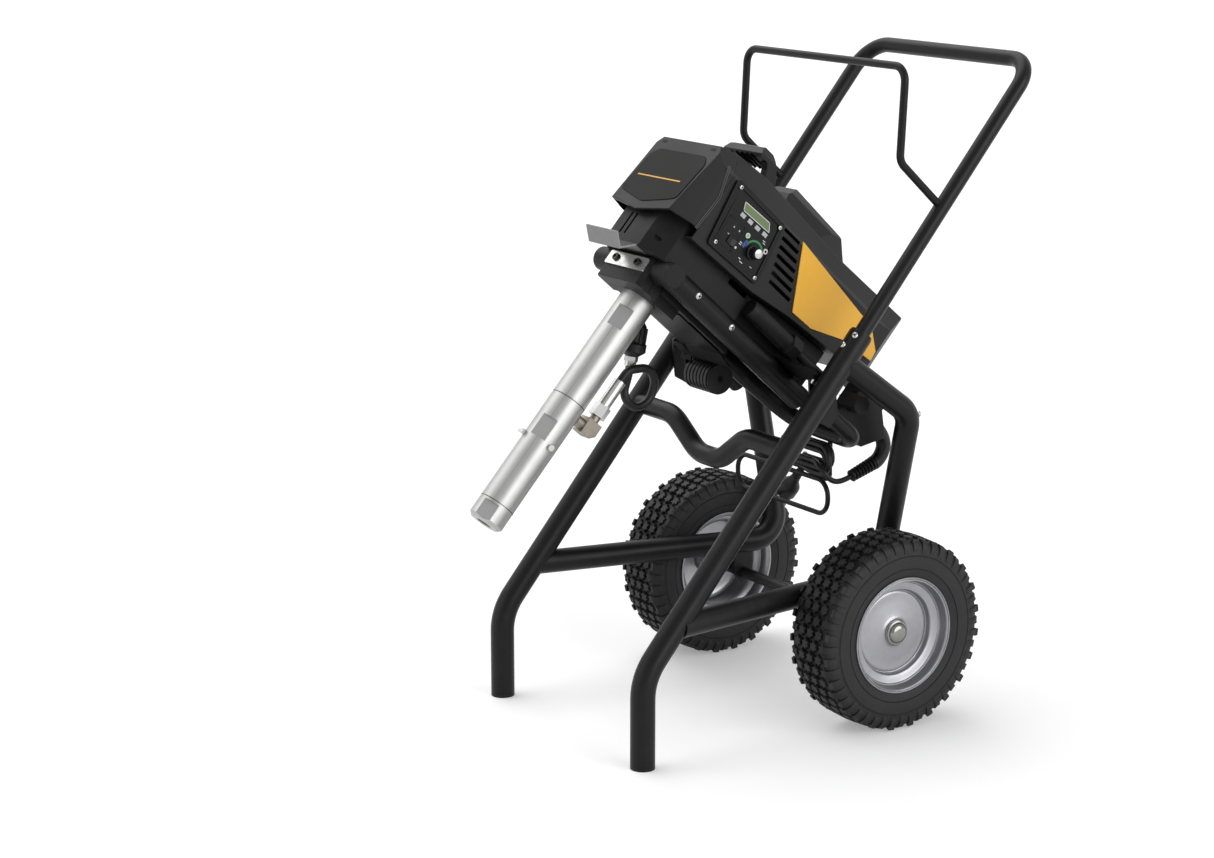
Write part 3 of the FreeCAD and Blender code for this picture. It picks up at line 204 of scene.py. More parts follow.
def moulded(name, shade, wear, rough, grain=2600, depth=0.00005, soft=0.0014, gloss=0.4):
    # moulded plastic: fine spark grain, faint flow shading, edges rubbed a little lighter
    paint = Paint(name, Specular_IOR_Level=gloss)
    flow = paint.noise(scale=6, detail=3, rough=0.55)
    scuff = paint.ramp(paint.noise(scale=60, detail=8, rough=0.75), low=0.6, high=0.85)
    rubbed = paint.worn(soft) * paint.ramp(paint.noise(scale=24, detail=4), low=0.3, high=0.7)
    paint.feed("Base Color", paint.mixed(rubbed * 0.5, paint.mixed(scuff * 0.3, shade, wear), wear))
    paint.feed("Roughness", between(rough, flow, 1.4))
    paint.feed("Normal", paint.relief(paint.noise(grain), depth, soft))
    return paint.material


def turned(name, shade, dark, direction, rough, lines=2200, depth=0.00002, soft=0.0006, flats=None):
    # turned or drawn metal with lines across the direction, and milled flats that are duller and painted darker as
    # shade
    paint = Paint(name, Metallic=1.0)
    marks = paint.lines(direction, lines)
    stain = paint.ramp(paint.noise(scale=26, detail=5, rough=0.65), low=0.45, high=0.75)
    colour = paint.mixed(stain * 0.5, shade, dark)
    roughness = between(rough, marks, 1.5)
    if flats:
        facing = paint.node("ShaderNodeNewGeometry", out="True Normal")
        milled = abs(paint.along(flats["way"], facing)) > flats["facing"]
        # the flats take the dark colour as painted shade, besides their added roughness
        colour = paint.mixed(milled, colour, dark)
        roughness = roughness + milled * flats["duller"]
    paint.feed("Base Color", colour)
    paint.feed("Roughness", roughness)
    paint.feed("Normal", paint.relief(marks, depth, soft))
    return paint.material


def plated(name, shade, dark, rough, grain=420, depth=0.00003, soft=0.0005):
    # zinc plate, cast or sheet metal with a cloudy crystal skin
    paint = Paint(name, Metallic=1.0)
    cloud = paint.noise(scale=70, detail=5, rough=0.6)
    paint.feed("Base Color", paint.mixed(paint.ramp(cloud, low=0.4, high=0.7) * 0.6, shade, dark))
    paint.feed("Roughness", between(rough, cloud, 1.5))
    paint.feed("Normal", paint.relief(paint.noise(grain, detail=4), depth, soft))
    return paint.material


def rubbery(name, shade, dust, rough, grain=1500, depth=0.0001, grooveShade=None):
    # rubber with a dusty haze; the grooves of a tread, between two radii from the axle, are painted darker as shade
    paint = Paint(name, Specular_IOR_Level=0.3)
    haze = paint.noise(scale=40, detail=6, rough=0.7)
    colour = paint.mixed(paint.ramp(haze, low=0.45, high=0.8) * 0.5, shade, dust)
    if grooveShade:
        across = paint.vectors("MULTIPLY", paint.vectors("SUBTRACT", paint.place(), grooveShade["axle"]), (0, 1, 1))
        radius = paint.vectors("LENGTH", across, out="Value")
        aside = abs(abs(paint.along((1, 0, 0))) - grooveShade["middle"])
        # painted shade: the tread is darkened in the grooves between the knobs
        shadedGroove = paint.ramp(radius, *grooveShade["depth"]) * paint.ramp(aside, *grooveShade["width"])
        colour = paint.mixed(shadedGroove * paint.ramp(radius, *grooveShade["tread"]), colour, grooveShade["shade"])
    paint.feed("Base Color", colour)
    paint.feed("Roughness", between(rough, haze, 1.4))
    paint.feed("Normal", paint.relief(paint.noise(grain, detail=3), depth))
    return paint.material


def printed(name, shade, wear, rough=0.4, glow=0.0):
    # printed marks, small lights and black patches of painted shade
    paint = Paint(name, Specular_IOR_Level=0.4, Emission_Strength=glow)
    speck = paint.noise(scale=500, detail=3)
    paint.feed("Base Color", paint.mixed(speck * 0.35, shade, wear))
    paint.feed("Roughness", rough + speck * 0.12)
    if glow:
        paint.feed("Emission Color", paint.mixed(speck * 0.3, shade, wear))
    return paint.material


wheelPlace = {"x": 236.0, "y": 147.5, "z": 154.0}  # middle of the right wheel, which the left one mirrors
flatTurn = math.radians(40)  # the wrench flats are turned this far about the rod
rodFlats = {"way": unitMm.to_3x3() @ Vector((-math.sin(flatTurn), math.cos(flatTurn), 0)), "facing": 0.9995,
            "duller": 0.16}
# where the tread's grooves get painted shade, by radius from the axle and distance from the tyre's middle
tyreGrooveShade = {"axle": (0, wheelPlace["y"] * mm, wheelPlace["z"] * mm), "middle": wheelPlace["x"] * mm,
               "depth": (0.1522, 0.1502), "width": (0.044, 0.038), "tread": (0.143, 0.146),
               "shade": (0.0025, 0.0025, 0.0025)}

# shade and wear are the two colours that each finish wanders between, rough its two ends of gloss
looks = {
    "tubeBlack": (coated, dict(shade=(0.006, 0.006, 0.0063), wear=(0.024, 0.024, 0.024), rough=(0.3, 0.4),
                               gloss=0.2)),
    "castBlack": (coated, dict(shade=(0.007, 0.007, 0.0074), wear=(0.024, 0.024, 0.024), rough=(0.36, 0.5),
                               grain=420, depth=0.0002, soft=0.0024, gloss=0.2)),
    "sheetBlack": (coated, dict(shade=(0.003, 0.003, 0.0032), wear=(0.014, 0.014, 0.014), rough=(0.34, 0.46),
                                gloss=0.08)),
    "coverBlack": (moulded, dict(shade=(0.0105, 0.0105, 0.011), wear=(0.04, 0.04, 0.04), rough=(0.36, 0.5),
                                 soft=0.003, gloss=0.22)),
    # a lighter grey that is a painted highlight along the seam rib
    "coverEdge": (moulded, dict(shade=(0.07, 0.07, 0.072), wear=(0.11, 0.11, 0.11), rough=(0.26, 0.36))),
    "trimBlack": (moulded, dict(shade=(0.006, 0.006, 0.0065), wear=(0.025, 0.025, 0.025), rough=(0.3, 0.44),
                                grain=1800, depth=0.00004, soft=0.0008, gloss=0.25)),
    "panelBlack": (moulded, dict(shade=(0.0045, 0.0045, 0.005), wear=(0.016, 0.016, 0.016), rough=(0.24, 0.34),
                                 grain=3200, depth=0.00002, gloss=0.2)),
    "panelYellow": (moulded, dict(shade=(0.76, 0.4, 0.035), wear=(0.64, 0.33, 0.05), rough=(0.3, 0.4),
                                  depth=0.00002, soft=0.0008)),
    "badgeBlack": (moulded, dict(shade=(0.005, 0.005, 0.0045), wear=(0.02, 0.02, 0.02), rough=(0.3, 0.4),
                                 grain=900, depth=0.00001, gloss=0.06)),
    "sealWhite": (moulded, dict(shade=(0.7, 0.68, 0.62), wear=(0.5, 0.48, 0.42), rough=(0.4, 0.5))),
    "rodSteel": (turned, dict(shade=(0.45, 0.45, 0.445), dark=(0.36, 0.36, 0.36), direction=rodWay,
                              rough=(0.34, 0.46), flats=rodFlats)),
    "shaftSteel": (turned, dict(shade=(0.5, 0.5, 0.5), dark=(0.36, 0.36, 0.36), direction=motorWay,
                                rough=(0.22, 0.34))),
    "axleSteel": (turned, dict(shade=(0.05, 0.05, 0.052), dark=(0.03, 0.03, 0.03), direction=(1, 0, 0),
                               rough=(0.34, 0.48))),
    "zinc": (plated, dict(shade=(0.56, 0.56, 0.55), dark=(0.42, 0.42, 0.42), rough=(0.2, 0.34))),
    "hookSteel": (plated, dict(shade=(0.2, 0.2, 0.2), dark=(0.18, 0.18, 0.18), rough=(0.28, 0.36), grain=900,
                               depth=0.00001)),
    "boltBlack": (plated, dict(shade=(0.06, 0.06, 0.06), dark=(0.04, 0.04, 0.04), rough=(0.25, 0.4))),
    "capSteel": (plated, dict(shade=(0.27, 0.27, 0.25), dark=(0.2, 0.2, 0.19), rough=(0.1, 0.18), grain=200,
                              depth=0.00001, soft=0.0004)),
    "rimSilver": (plated, dict(shade=(0.34, 0.34, 0.36), dark=(0.3, 0.3, 0.316), rough=(0.3, 0.38), grain=700,
                               depth=0.00002, soft=0.001)),
    "elbowMetal": (plated, dict(shade=(0.3, 0.27, 0.225), dark=(0.2, 0.18, 0.15), rough=(0.34, 0.48), grain=500,
                                depth=0.0001, soft=0.0012)),
    "castMetal": (plated, dict(shade=(0.1, 0.1, 0.1), dark=(0.06, 0.06, 0.06), rough=(0.4, 0.6), grain=300,
                               depth=0.0002, soft=0.0012)),
    "tyreRubber": (rubbery, dict(shade=(0.0115, 0.0115, 0.0118), dust=(0.028, 0.028, 0.028), rough=(0.46, 0.62),
                                 grain=900, depth=0.00016, grooveShade=tyreGrooveShade)),
    "cordRubber": (rubbery, dict(shade=(0.006, 0.006, 0.0065), dust=(0.02, 0.02, 0.02), rough=(0.36, 0.5),
                                 grain=2400, depth=0.00005)),
    "hoseRubber": (rubbery, dict(shade=(0.0065, 0.0065, 0.007), dust=(0.02, 0.02, 0.02), rough=(0.34, 0.5),
                                 grain=1400)),
    "lcdGreen": (printed, dict(shade=(0.12, 0.175, 0.07), wear=(0.15, 0.21, 0.09), rough=0.25)),
    "markGrey": (printed, dict(shade=(0.42, 0.43, 0.43), wear=(0.3, 0.3, 0.3), rough=0.45)),
    "markWhite": (printed, dict(shade=(0.62, 0.63, 0.62), wear=(0.5, 0.5, 0.5))),
    "markGreen": (printed, dict(shade=(0.02, 0.2, 0.06), wear=(0.02, 0.12, 0.05))),
    "markBlue": (printed, dict(shade=(0.03, 0.07, 0.4), wear=(0.03, 0.05, 0.3))),
    "lampGreen": (printed, dict(shade=(0.03, 0.45, 0.06), wear=(0.15, 0.6, 0.15), rough=0.2, glow=0.3)),
    # black of painted shade in the panel step, cover notches and screw crosses, and the dark joints of the fluid
    # section
    "holeBlack": (printed, dict(shade=(0.0015, 0.0015, 0.0015), wear=(0.003, 0.003, 0.003), rough=0.7)),
}
finish = {name: maker(name, **look) for name, (maker, look) in looks.items()}

nodeFinish = {
    "tubeBlack": "legs rear_tubes cross_bar handle hose_rack lower_bow cord_hanger cradle_bracket rails",
    "castBlack": "drive_housing clamp_block conduit",
    "sheetBlack": "under_tray",
    "coverBlack": "front_cover motor_shroud top_cover inlet_box",
    "trimBlack": "foot_caps handle_sleeves carry_handle pressure_knob power_switch cooling_fan filter_cap",
    "panelBlack": "control_panel",
    "panelYellow": "side_panels",
    "rodSteel": "upper_housing pump_cylinder inlet_housing piston_rod",
    "shaftSteel": "motor_rotor crank_gear",
    "axleSteel": "axle",
    "zinc": "retainer_plate hose_fittings inlet_ball",
    "hookSteel": "pail_hook",
    "elbowMetal": "outlet_elbow",
    "castMetal": "motor_stator bush_left bush_right",
    "hoseRubber": "buffer_roll pressure_hose",
    "sealWhite": "packings",
    "lcdGreen": "display",
    "markGrey": "button_1 button_2 button_3 button_4",
}

for shade, names in nodeFinish.items():
    for name in names.split():
        nodes[name].data.materials.clear()
        nodes[name].data.materials.append(finish[shade])
print("materials ready:", len(finish))


def dress(piece, shade, body):
    # finish and the body that it moves with
    piece.data.materials.append(finish[shade])
    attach(piece, body)
    return piece


def addMesh(name, points, faces, shade, body, smooth):
    mesh = bpy.data.meshes.new(name)
    mesh.from_pydata([tuple(p) for p in points], [], faces)
    form = bmesh.new()
    form.from_mesh(mesh)
    bmesh.ops.recalc_face_normals(form, faces=form.faces)
    form.to_mesh(mesh)
    form.free()
    mesh.shade_smooth()
    mesh.set_sharp_from_angle(angle=math.radians(smooth))
    return dress(linked(name, mesh), shade, body)


class Shape:
    # points and faces, in millimetres, of several closed forms in one piece
    def __init__(self):
        self.points = []
        self.faces = []

    def add(self, points, faces, matrix=None):
        first = len(self.points)
        self.points += [matrix @ Vector(p) if matrix else Vector(p) for p in points]
        self.faces += [tuple(first + i for i in face) for face in faces]

    def lathe(self, profile, steps=48, matrix=None, closed=True):
        # profile of (along, radius) about the local X axis
        count = len(profile)
        points, faces = [], []
        for k in range(steps):
            a = math.tau * k / steps
            points += [(x, r * math.cos(a), r * math.sin(a)) for x, r in profile]
        for k in range(steps):
            n = (k + 1) % steps
            for i in range(count if closed else count - 1):
                j = (i + 1) % count
                faces.append((k * count + i, k * count + j, n * count + j, n * count + i))
        if not closed:
            faces.append(tuple(k * count for k in range(steps)))
            faces.append(tuple(k * count + count - 1 for k in reversed(range(steps))))
        self.add(points, faces, matrix)

    def layers(self, rings, matrix=None):
        # rings of as many points each, joined and closed at both ends
        count = len(rings[0])
        faces = [tuple(range(count)), tuple(range(len(rings) * count - 1, (len(rings) - 1) * count - 1, -1))]
        for ring in range(len(rings) - 1):
            for i in range(count):
                n = (i + 1) % count
                faces.append((ring * count + i, ring * count + n, (ring + 1) * count + n, (ring + 1) * count + i))
        self.add([p for ring in rings for p in ring], faces, matrix)

    def prism(self, outline, low, high, matrix=None):
        # outline in the local YZ plane, pushed along X
        self.layers([[(x, a, b) for a, b in outline] for x in (low, high)], matrix)

    def block(self, size, matrix=None, soft=0.0):
        # box about the origin with its edges along X cut at an angle
        x, y, z = (s / 2 for s in size)
        outline = [(-y + soft, -z), (y - soft, -z), (y, -z + soft), (y, z - soft),
                   (y - soft, z), (-y + soft, z), (-y, z - soft), (-y, -z + soft)]
        if not soft:
            outline = [(-y, -z), (y, -z), (y, z), (-y, z)]
        self.prism(outline, -x, x, matrix)

    def piece(self, name, shade, body, slot, smooth=30):
        return addMesh(name, [p * mm for p in self.points], self.faces, shade, body, smooth)


def aimed(at, way):
    # local X along a direction, moved to a point in millimetres
    turn = Vector(way).to_track_quat("X", "Z").to_matrix().to_4x4()
    return Matrix.Translation(Vector(at)) @ turn


def rounded(corners, radius, steps=5):
    # outline of (a, b) pairs with its corners rounded
    outline = []
    for i, here in enumerate(corners):
        here = Vector(here)
        back, ahead = Vector(corners[i - 1]) - here, Vector(corners[(i + 1) % len(corners)]) - here
        cut = min(radius, back.length * 0.45, ahead.length * 0.45)
        a, b = here + back.normalized() * cut, here + ahead.normalized() * cut
        for k in range(steps + 1):
            t = k / steps
            outline.append(tuple(a * (1 - t) ** 2 + here * 2 * t * (1 - t) + b * t ** 2))
    return outline


def splineCurve(name, points, radius, shade, body, steps):
    data = bpy.data.curves.new(name, "CURVE")
    data.dimensions = "3D"
    data.bevel_depth = radius
    data.bevel_resolution = 5
    data.use_fill_caps = True
    spline = data.splines.new("NURBS")
    spline.points.add(len(points) - 1)
    for knot, p in zip(spline.points, points):
        knot.co = (*p, 1)
    spline.order_u = 3
    spline.use_endpoint_u = True
    spline.resolution_u = steps
    return dress(linked(name, data), shade, body)


# mains cord: free stretch in metres, from the relief round in front of the hank and into its middle
cordFree = [(0.118, 0.16524, 0.37102), (0.118, 0.14827, 0.36502), (0.12, 0.1255, 0.369), (0.116, 0.11305, 0.385),
            (0.1, 0.11305, 0.3937), (0.079, 0.1255, 0.3937)]
cordTail = [(0.036, 0.13495, 0.3937), (0.026, 0.14545, 0.3927), (0.02, 0.1495, 0.378), (0.008, 0.1515, 0.363),
            (0.0014, 0.1515, 0.3555)]
# climb gives, along a run of the hank, the share of its length and of the step to the back layer
cordFacts = {"radius": 4.5, "air": 0.45, "middle": 400.7, "half": 25.9, "right": 90.0, "left": 8.0,
             "front": 125.5, "start": 70.0, "end": 50.0, "turns": 5,
             "climb": ((0.12, 0), (0.37, 0.1), (0.63, 0.9), (0.88, 1))}
# rib gives, over one pitch, the share of its length and what is taken off its radius
reliefFacts = {"low": (118, 210.5, 387), "way": (0, -0.943, -0.333), "length": 48.0, "ribs": 8, "size": 11.3,
               "taper": 1.6, "lip": [(-0.4, 6.4), (0, 6.0)], "bore": 4.6,
               "rib": ((0, 4.2), (0.16, 4.1), (0.24, 0.5), (0.32, 0), (0.66, 0), (0.74, 0.5), (0.82, 4.1))}
sleeveFacts = {"box": ((118, 432, 62), (118, 460, 58)), "overlap": 14, "radius": 11.8}
plugFacts = {"at": (8, 151.5, 363), "way": (-0.66, 0, -0.745), "ridges": 5, "grip": 6.0, "flare": 0.45,
             "ridge": ((0, 0), (2.2, 0.1), (2.6, -0.7), (3.6, -0.7)), "pinSide": 9.5,
             "neck": [(-2, 4.6), (-2, 5.6)], "head": [(24, 8.2), (31, 9.5), (37, 13), (43, 16.4), (47, 17),
                                                      (62, 17), (64, 16), (64, 4.6)],
             "pin": [(60, 2.4), (79, 2.4), (81, 2.1), (82.6, 1.2), (83, 0.4)]}


def reliefPoint(reach):
    return Vector(reliefFacts["low"]) + Vector(reliefFacts["way"]).normalized() * reach


def hankPoints():
    # runs along X joined by half turns; the middle run climbs from the front layer to the back one
    pitch = 2 * cordFacts["radius"] + cordFacts["air"]
    rise = [cordFacts["half"] - pitch / 2 * i for i in range(cordFacts["turns"])]
    heights = rise[::-1] + rise[1:]
    last, middle, half = len(heights) - 1, cordFacts["middle"], math.pi / 8  # a half turn has four corners
    x, y, z = cordFacts["start"], cordFacts["front"], middle - heights[0]
    below, points = True, []
    for i in range(last + 1):
        goal = cordFacts["end"] if i == last else cordFacts["left"] if below else cordFacts["right"]
        climbing = i == last // 2
        for share, lift in cordFacts["climb"]:
            points.append(Vector((x + (goal - x) * share, y + lift * pitch * climbing, z)))
        y += pitch * climbing
        x = goal
        if i == last:
            break
        after = middle + heights[i + 1] if below else middle - heights[i + 1]
        side, up = -1 if below else 1, 1 if after > z else -1
        corner = abs(after - z) / 2 / math.cos(half)
        for k in range(4):
            a = half + 2 * half * k
            points.append(Vector((x + side * corner * math.sin(a), y, (z + after) / 2 - up * corner * math.cos(a))))
        z, below = after, not below
    return points


def curveLength(points):
    trial = splineCurve("trial", points, 0, "cordRubber", "cart", 24)
    mesh = bpy.data.meshes.new_from_object(trial.evaluated_get(bpy.context.evaluated_depsgraph_get()))
    ordered = [v.co for v in mesh.vertices]
    total = sum((b - a).length for a, b in zip(ordered, ordered[1:]))
    bpy.data.objects.remove(trial)
    return total


def addRelief():
    # ribs with slits between them, then a thicker lip where the cord leaves
    length, ribs, bore = reliefFacts["length"], reliefFacts["ribs"], reliefFacts["bore"]
    pitch, profile = length / ribs, []
    for i in range(ribs):
        size = reliefFacts["size"] - reliefFacts["taper"] * i / ribs
        profile += [((i + share) * pitch, size - less) for share, less in reliefFacts["rib"]]
    profile += [(length + a, r) for a, r in reliefFacts["lip"]] + [(length, bore), (0, bore)]
    shape = Shape()
    shape.lathe(profile, 40, aimed(reliefPoint(0), reliefFacts["way"]))
    return shape.piece("cordRelief", "cordRubber", "cart", "black_rubber", 40)


def addSleeve():
    # smooth bend from the inlet box down to the ribs
    points = [unitMm @ Vector(p) * mm for p in sleeveFacts["box"]]
    points += [reliefPoint(-sleeveFacts["overlap"]) * mm, reliefPoint(0) * mm]
    return splineCurve("inletSleeve", points, sleeveFacts["radius"] * mm, "cordRubber", "cart", 12)


def addPlug():
    # two-pin plug with ridges on its grip
    place = aimed(plugFacts["at"], plugFacts["way"])
    profile = list(plugFacts["neck"])
    for i in range(plugFacts["ridges"]):
        x, r = 2 + 4 * i, plugFacts["grip"] + plugFacts["flare"] * i
        profile += [(x + a, r + b) for a, b in plugFacts["ridge"]]
    shape = Shape()
    shape.lathe(profile + plugFacts["head"], 44, place)
    body = shape.piece("plugBody", "cordRubber", "cart", "black_rubber", 35)
    pins = Shape()
    for side in (-1, 1):
        pins.lathe(plugFacts["pin"], 20, place @ Matrix.Translation((0, side * plugFacts["pinSide"], 0)), False)
    return body, pins.piece("plugPins", "zinc", "cart", "bright_steel", 35)


cordLine = [Vector(p) for p in cordFree] + [p * mm for p in hankPoints()] + [Vector(p) for p in cordTail]
cordLength = curveLength(cordLine)
cordCurve = splineCurve("mainsCord", cordLine, cordFacts["radius"] * mm, "cordRubber", "cart", 10)
plugBody, plugPins = addPlug()
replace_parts(cordCurve, "power_cord", "cord_hank")
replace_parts(addRelief(), "strain_relief")
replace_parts(addSleeve(), "cord_sleeve")
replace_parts(plugBody, "mains_plug")
print("cord", round(cordLength, 3), "m")


# tyres: smooth carcass with rings on its side, rows of six-pointed knobs, lugs on the shoulders
tyreFacts = {"rows": 48, "radius": 154.0, "groove": 147.6, "crownDrop": 2.2, "crownHalf": 36.0,
             "columns": (-35.0, -15.0, 5.0, 25.0)}
tyreSide = [(41.2, 88.6), (43.4, 90.2), (44.4, 93), (45.4, 97), (46.6, 102), (47.5, 105.4), (46.6, 106.2),
            (46.6, 106.8), (47.8, 107.4), (48.2, 112), (48.4, 119), (48.2, 125.6), (47.1, 126.6), (47.1, 127.4),
            (48.2, 128.4), (47.5, 130.6), (47.2, 134.5), (46.2, 139.4), (43.8, 145.2), (40.4, 148.4), (35.0, 149.8),
            (28, 149.2), (18, 148.2), (0, 147.8)]
tyreInside = [(-10, 142), (-30, 139), (-40, 122), (-36, 100), (-32, 90)]
# rings from a knob's foot, sunk in the groove, to its top: drop below the crown, and share of its size
knobFacts = {"size": 9.2, "waist": 0.6, "points": 6, "rings": ((None, 1.1), (0.7, 1.0), (0.0, 0.92))}
# a lug starts at this distance from the tyre's middle and ends at this radius
lugFacts = {"half": 6.4, "slimmer": 0.05, "topShare": 0.86, "long": (35.5, 129.5),
            "short": ((44.0, 133.0), (45.0, 133.0))}


def crownRadius(x):
    return tyreFacts["radius"] - tyreFacts["crownDrop"] * (abs(x) / tyreFacts["crownHalf"]) ** 2


def addKnob(shape, place, x):
    # six-pointed block with its top a little smaller than its foot
    corners = 2 * knobFacts["points"]
    rings = []
    for drop, share in knobFacts["rings"]:
        ring = []
        for t in range(corners):
            a = math.tau * t / corners
            r = knobFacts["size"] * share * (knobFacts["waist"] if t % 2 else 1.0)
            px, py = x + r * math.sin(a), r * math.cos(a)
            radius = tyreFacts["groove"] - 1 if drop is None else crownRadius(px) - drop
            ring.append((px, py, math.sqrt(radius ** 2 - py ** 2)))
        rings.append(ring)
    shape.layers(rings, place)


def addLug(shape, place, way, inner, low):
    # shoulder lug from the crown's edge over the shoulder and down the side
    line = [(inner, 152.4), (40.4, 151.4), (43.8, 149.0), (46.4, 145.0), (48.0, 139.6), (48.3, low + 3.5), (47.7, low)]
    foot = [(inner, 147.0), (38.5, 146.0), (41.0, 144.0), (43.4, 141.0), (45.0, 137.0), (46.0, low + 2.5), (46.4, low)]
    rings = []
    for i, (top, root) in enumerate(zip(line, foot)):
        slim = lugFacts["half"] * (1.0 - lugFacts["slimmer"] * i)
        narrow = slim * lugFacts["topShare"]
        rings.append([(way * root[0], -slim, root[1]), (way * root[0], slim, root[1]),
                      (way * top[0], narrow, top[1]), (way * top[0], -narrow, top[1])])
    shape.layers(rings, place)


def addTyre(name, node, hub, body):
    section = tyreSide + [(-a, r) for a, r in reversed(tyreSide[:-1])]
    section += tyreInside[::-1] + [(-a, r) for a, r in tyreInside]
    shape = Shape()
    shape.lathe(section, 96, hub)
    for row in range(tyreFacts["rows"]):
        place = hub @ Matrix.Rotation(math.tau * row / tyreFacts["rows"], 4, "X")
        flip = 1 if row % 2 else -1
        for x in tyreFacts["columns"]:
            addKnob(shape, place, flip * x)
        addLug(shape, place, -flip, *lugFacts["long"])
        addLug(shape, place, flip, *lugFacts["short"][row % 4 // 2])
    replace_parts(shape.piece(name, "tyreRubber", body, "tyre_rubber", 32), node)


# rims: rolled lip, bead seat, stepped well and a dished disc round the hub
rimProfile = [(44.0, 92.2), (45.6, 92.6), (46.5, 91.9), (46.4, 90.8), (44.6, 90.2), (44.2, 89.4), (45.4, 88.6),
              (45.6, 87.6), (44.4, 86.6), (41.0, 85.9), (33.0, 84.4), (31.0, 83.4), (31.2, 82.2), (29.4, 81.0),
              (28.2, 76.0), (27.6, 72.0), (26.6, 69.2), (24.8, 67.9), (22.0, 67.2), (19.6, 67.0), (18.3, 66.4),
              (18.0, 65.3), (18.8, 64.1), (19.5, 62.6), (19.3, 60.0), (20.2, 47.0), (21.4, 34.0), (22.2, 26.0),
              (22.9, 22.6), (24.4, 20.7), (26.6, 20.0), (27.0, 19.4), (27.0, 16.4), (-29.0, 16.4), (-29.0, 20.0),
              (14.0, 20.6), (18.8, 24.0), (18.6, 34.0), (17.4, 47.0), (16.0, 60.0), (15.2, 66.0), (14.0, 69.0),
              (10.0, 72.6), (-23.0, 72.6), (-27.5, 76.0), (-30.0, 82.5), (-40.0, 85.0), (-45.0, 88.0), (-46.4, 90.8),
              (-46.2, 92.4), (-44.0, 92.0), (-43.0, 88.8), (-40.0, 87.2), (-29.0, 85.0), (-26.0, 78.0), (-22.0, 75.0),
              (22.0, 75.0), (25.4, 77.0), (26.4, 82.5), (30.0, 85.6), (40.0, 87.0), (42.6, 88.4)]
capProfile = [(27.3, 9.3), (27.3, 19.2), (28.6, 19.8), (29.6, 19.4), (30.0, 18.0), (30.2, 16.6), (32.4, 16.0),
              (34.6, 14.2), (36.2, 11.4), (37.0, 7.6), (37.3, 3.4), (37.3, 0.3), (29.3, 0.3), (29.3, 9.3)]


def addWheel(side, word):
    body = "wheel_" + word
    hub = Matrix.Translation((side * wheelPlace["x"], wheelPlace["y"], wheelPlace["z"]))
    outward = hub @ Matrix.Scale(side, 4, (1, 0, 0))
    addTyre(word + "Tyre", "tyre_" + word, hub, body)
    rim = Shape()
    rim.lathe(rimProfile, 96, outward)
    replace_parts(rim.piece(word + "Rim", "rimSilver", body, "rim_silver", 34), "rim_" + word)
    return outward


def addCaps(places):
    caps = Shape()
    for place in places:
        caps.lathe(capProfile, 40, place)
    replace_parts(caps.piece("domedCaps", "capSteel", "cart", "bright_steel", 35), "axle_caps")


addCaps([addWheel(side, word) for side, word in ((-1, "left"), (1, "right"))])
print("wheels done")


# control panel: frame, printed marks, a patch of painted shade, lamp, socket, knob cap; all places are (u, v) on the
# unit's side
panelFacts = {"face": 99.0, "knob": (58.0, 131.0), "lamp": (33.0, 145.0), "socket": (76.0, 146.4),
              "display": [(-5, 181), (53, 184), (62, 172), (1, 169)],
              "field": [(-14, 150), (22, 151), (24, 107), (-8, 106)],
              "outline": [(-33, 193), (73, 192), (88, 104), (-14, 99.5)],
              "paintedShade": [(-29, 184), (-24, 184), (-14.6, 149), (-15, 104), (-12.6, 104)],
              "patch": [(34.5, 127), (39.5, 126.6), (40.5, 138.6), (35.5, 139)],
              "print": 0.12, "scaleFrom": 40, "scaleStep": 10, "scaleParts": 14, "scaleRadii": (16.2, 19.4),
              "socketRing": [(0, 2.2), (0, 4.6), (1.0, 4.6), (1.6, 4.0), (1.6, 2.2)],
              "lampRing": [(0, 2.6), (0, 4.4), (1.2, 4.4), (1.6, 3.8), (1.6, 2.6)],
              "lens": [(0, 2.5), (1.4, 2.5), (2.2, 1.8), (2.6, 0.6)],
              "cap": [(16.4, 7.3), (16.9, 7.1), (17.2, 6.4), (17.2, 0.5)],
              "pointer": {"turn": 2.2, "lift": 17.25, "reach": 3.7, "size": (0.5, 1.2, 5.4)}}
# small bars of print: u, v, width, height
whiteMarks = [(30, 127, 5, 1.2), (30, 130, 5, 1.2), (50, 107, 7, 1.2), (44, 110, 5, 1.2), (64, 157, 6, 1.0),
              (66, 154, 6, 1.0), (27, 118, 3.4, 3.4)]
greyMarks = [(70, 112, 5, 1.2), (4, 140, 2.4, 2.4), (16, 141, 2.6, 2.6), (2, 126, 3, 1.6), (10, 124, 5, 2.2)]


def onPanel(u, v, lift=0.0):
    return unitMm @ Matrix.Translation((panelFacts["face"] + lift, u, v))


def addStrip(shape, outline, matrix, wide, low, high):
    # raised line along a closed outline
    for a, b in zip(outline, outline[1:] + outline[:1]):
        reach = math.hypot(b[0] - a[0], b[1] - a[1]) / 2 + wide / 2
        turn = Matrix.Rotation(math.atan2(b[1] - a[1], b[0] - a[0]), 4, "X")
        place = matrix @ Matrix.Translation(((low + high) / 2, (a[0] + b[0]) / 2, (a[1] + b[1]) / 2)) @ turn
        shape.block((high - low, 2 * reach, wide), place)


